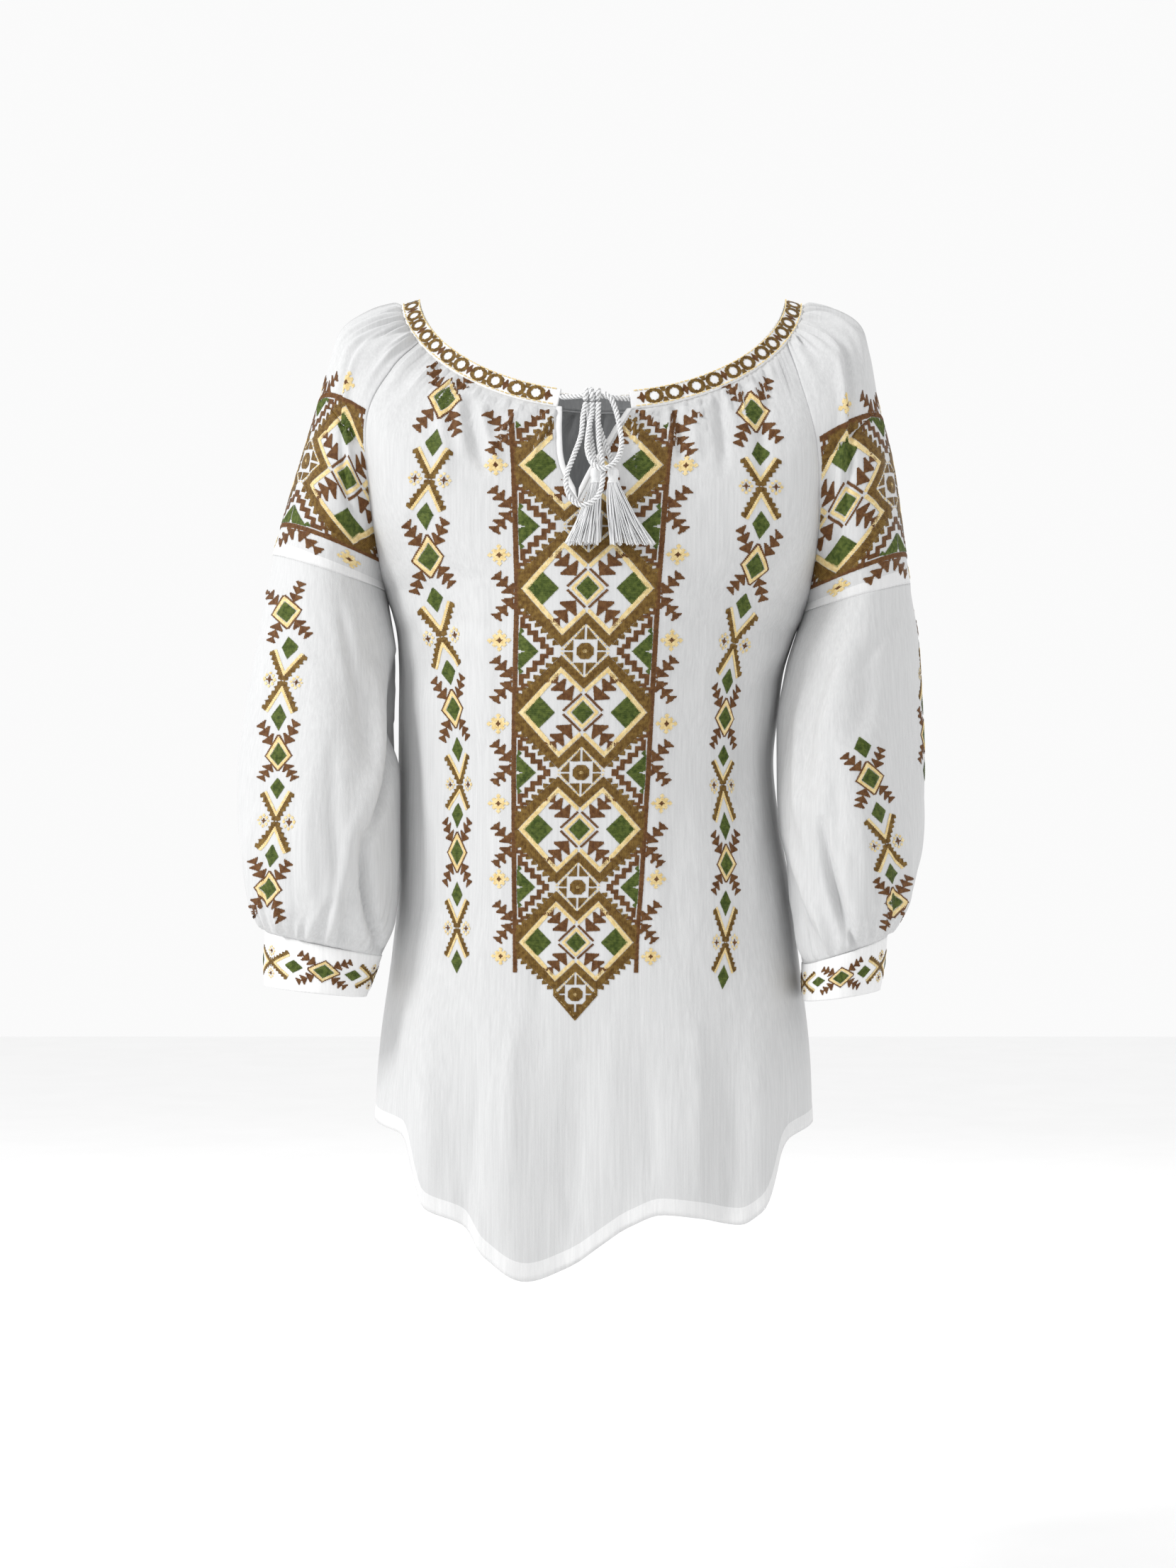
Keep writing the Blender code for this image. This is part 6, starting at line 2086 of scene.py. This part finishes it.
# A tassel's skirt: its threads, how thick they are, their points, how much the skirt deepens, how
# uneven the threads are, and the angle from one thread to the next
TASSEL_THREADS = 120
TASSEL_THREAD = 0.00042
TASSEL_STEPS = 14
TASSEL_DEEP = 0.45
SKIRT_OVERLAP = 0.0012
TIP_SHIFT = 0.0010
THREAD_BEND = 0.0011
THREAD_SWAY = 0.0006
GOLDEN_ANGLE = 2.39996


def tassel_head(top):
    """A tassel's head, wound below its middle."""
    below = np.linspace(0, TASSEL_PROFILE[-1][1], HEAD_RINGS)
    radius = np.interp(below, [row[1] for row in TASSEL_PROFILE], [row[0] for row in TASSEL_PROFILE])
    wound = (below > WOUND[0]) & (below < WOUND[1])
    winding = WINDING_RISE * np.abs(np.sin(math.pi * below / WINDING))
    radius = radius + np.where(wound, winding, 0.0)
    radius[0] = HEAD_TOP_RADIUS
    turn = np.linspace(0, 2 * math.pi, HEAD_SIDES, endpoint=False)
    ribs = 1 + RIB_SHARE * np.cos(RIBS * turn)[None, :] * (~wound)[:, None]
    x = radius[:, None] * np.cos(turn) * ribs
    y = radius[:, None] * np.sin(turn) * ribs
    head = points_of(x, y, -below[:, None] + 0 * turn)
    return grid_object("head", grid_faces(HEAD_RINGS, HEAD_SIDES, True), head + top)


def tassel_skirt(side, top):
    """A skirt of many threads that fan out from the head's lower end."""
    random = np.random.default_rng(SEED + 3 + side)
    low, high = TASSEL_SPREAD[side]
    root_radius = TASSEL_PROFILE[-1][0]
    root_below = TASSEL_PROFILE[-1][1] - SKIRT_OVERLAP
    share = np.linspace(0, 1, TASSEL_STEPS)
    rings = []
    for number in range(TASSEL_THREADS):
        spread = root_radius * 0.93 * math.sqrt((number + 0.5) / TASSEL_THREADS)
        angle = number * GOLDEN_ANGLE
        rx, ry = spread * math.cos(angle), spread * math.sin(angle)
        fan = math.sin(math.pi / 2 * rx / root_radius) * 0.97
        tip = (low + high) / 2 - top[0] + (high - low) / 2 * fan
        tip = tip + random.uniform(-TIP_SHIFT, TIP_SHIFT)
        length = (TASSEL_LENGTH - root_below) * random.uniform(0.93, 1.0)
        bend = random.uniform(-THREAD_BEND, THREAD_BEND)
        x = rx + (tip - rx) * share**1.25 + bend * np.sin(math.pi * share * 1.4)
        sway = random.uniform(-THREAD_SWAY, THREAD_SWAY)
        y = ry * (1 + TASSEL_DEEP * share) + sway * np.sin(math.pi * share)
        z = -root_below - length * share
        path = points_of(x, y, z) + top
        thick = TASSEL_THREAD * random.uniform(0.85, 1.2)
        corners = [math.pi / 4 + k * math.pi / 2 + number for k in range(4)]
        ring = [path + thick * np.array([math.cos(a), math.sin(a), 0.0]) for a in corners]
        rings.append(np.stack(ring, axis=1))
    base = grid_faces(TASSEL_STEPS, 4, True)
    faces = np.vstack([base + number * TASSEL_STEPS * 4 for number in range(TASSEL_THREADS)])
    return grid_object("skirt", faces, rings)


def tassel(side):
    """A wound head with its skirt."""
    name = "tassel_" + SIDE_WORD[side]
    top = np.array(TASSEL_TOP[side])
    made = join([tassel_head(top), tassel_skirt(side, top)], name + "_threads")
    return dress(made, ("cord",), "tassel", name)


def make_cloths():
    """The cloth shells; all but the neckband and the binding are given back by name."""
    cloths = {"front_panel": front_shell(), "back_panel": back_shell()}
    # The neckband's inner faces are painted with shade through the inside material
    shell("neckband", ("firm", "inside"), "band", BAND_WALL, end=NECKBAND_END)
    for word in SIDE_WORD.values():
        upper, lower, cuff = "sleeve_upper_" + word, "sleeve_lower_" + word, "cuff_" + word
        cloths[upper] = upper_sleeve_shell(upper)
        cloths[lower] = shell(lower, ("gauze",), "gauze", closed=True)
        cloths[cuff] = shell(cuff, ("firm",), "cuff", closed=True)
    binding()
    return cloths


def front_stripe(name, table, u_guess):
    """A narrow stripe of the front."""
    return stripe_threads(name, SHEETS["front_panel"], table, 0, 16, u_guess, front_guess, STRIPE_DEPTH)


def lower_sleeve_stripes(side):
    """The front and the outer stripe of a lower sleeve."""
    word = SIDE_WORD[side]
    sheet = SHEETS["sleeve_lower_" + word]
    table = LEFT_SLEEVE_STRIPE if side == LEFT else RIGHT_SLEEVE_STRIPE
    start, stop, outer_at, outer_count = SLEEVE_STRIPES[side]
    name = "embroidery_sleeve_front_" + word
    front = stripe_threads(name, sheet, table, start, stop, -0.3, lambda z: 0.5, SLEEVE_DEPTH)
    outer = outer_stripe("embroidery_sleeve_back_" + word, sheet, outer_count, outer_at)
    return [front, outer]


def make_embroidery():
    """The threads, given by the cloth that they lie on."""
    front = [
        centre_embroidery(),
        front_stripe("embroidery_stripe_left", LEFT_STRIPE, -0.5),
        front_stripe("embroidery_stripe_right", RIGHT_STRIPE, 0.5),
    ]
    threads = {"front_panel": front}
    for side, word in SIDE_WORD.items():
        threads["sleeve_upper_" + word] = [sleeve_band(side)]
        threads["cuff_" + word] = [cuff_embroidery(side)]
        threads["sleeve_lower_" + word] = lower_sleeve_stripes(side)
    band_embroidery()
    return threads


def main():
    set_camera()
    make_cords()
    knot()
    set_light()
    cloths = make_cloths()
    threads = make_embroidery()


def plain(values):
    """Nested values as plain lists of numbers."""
    return np.array(values, dtype=float).tolist()


main()
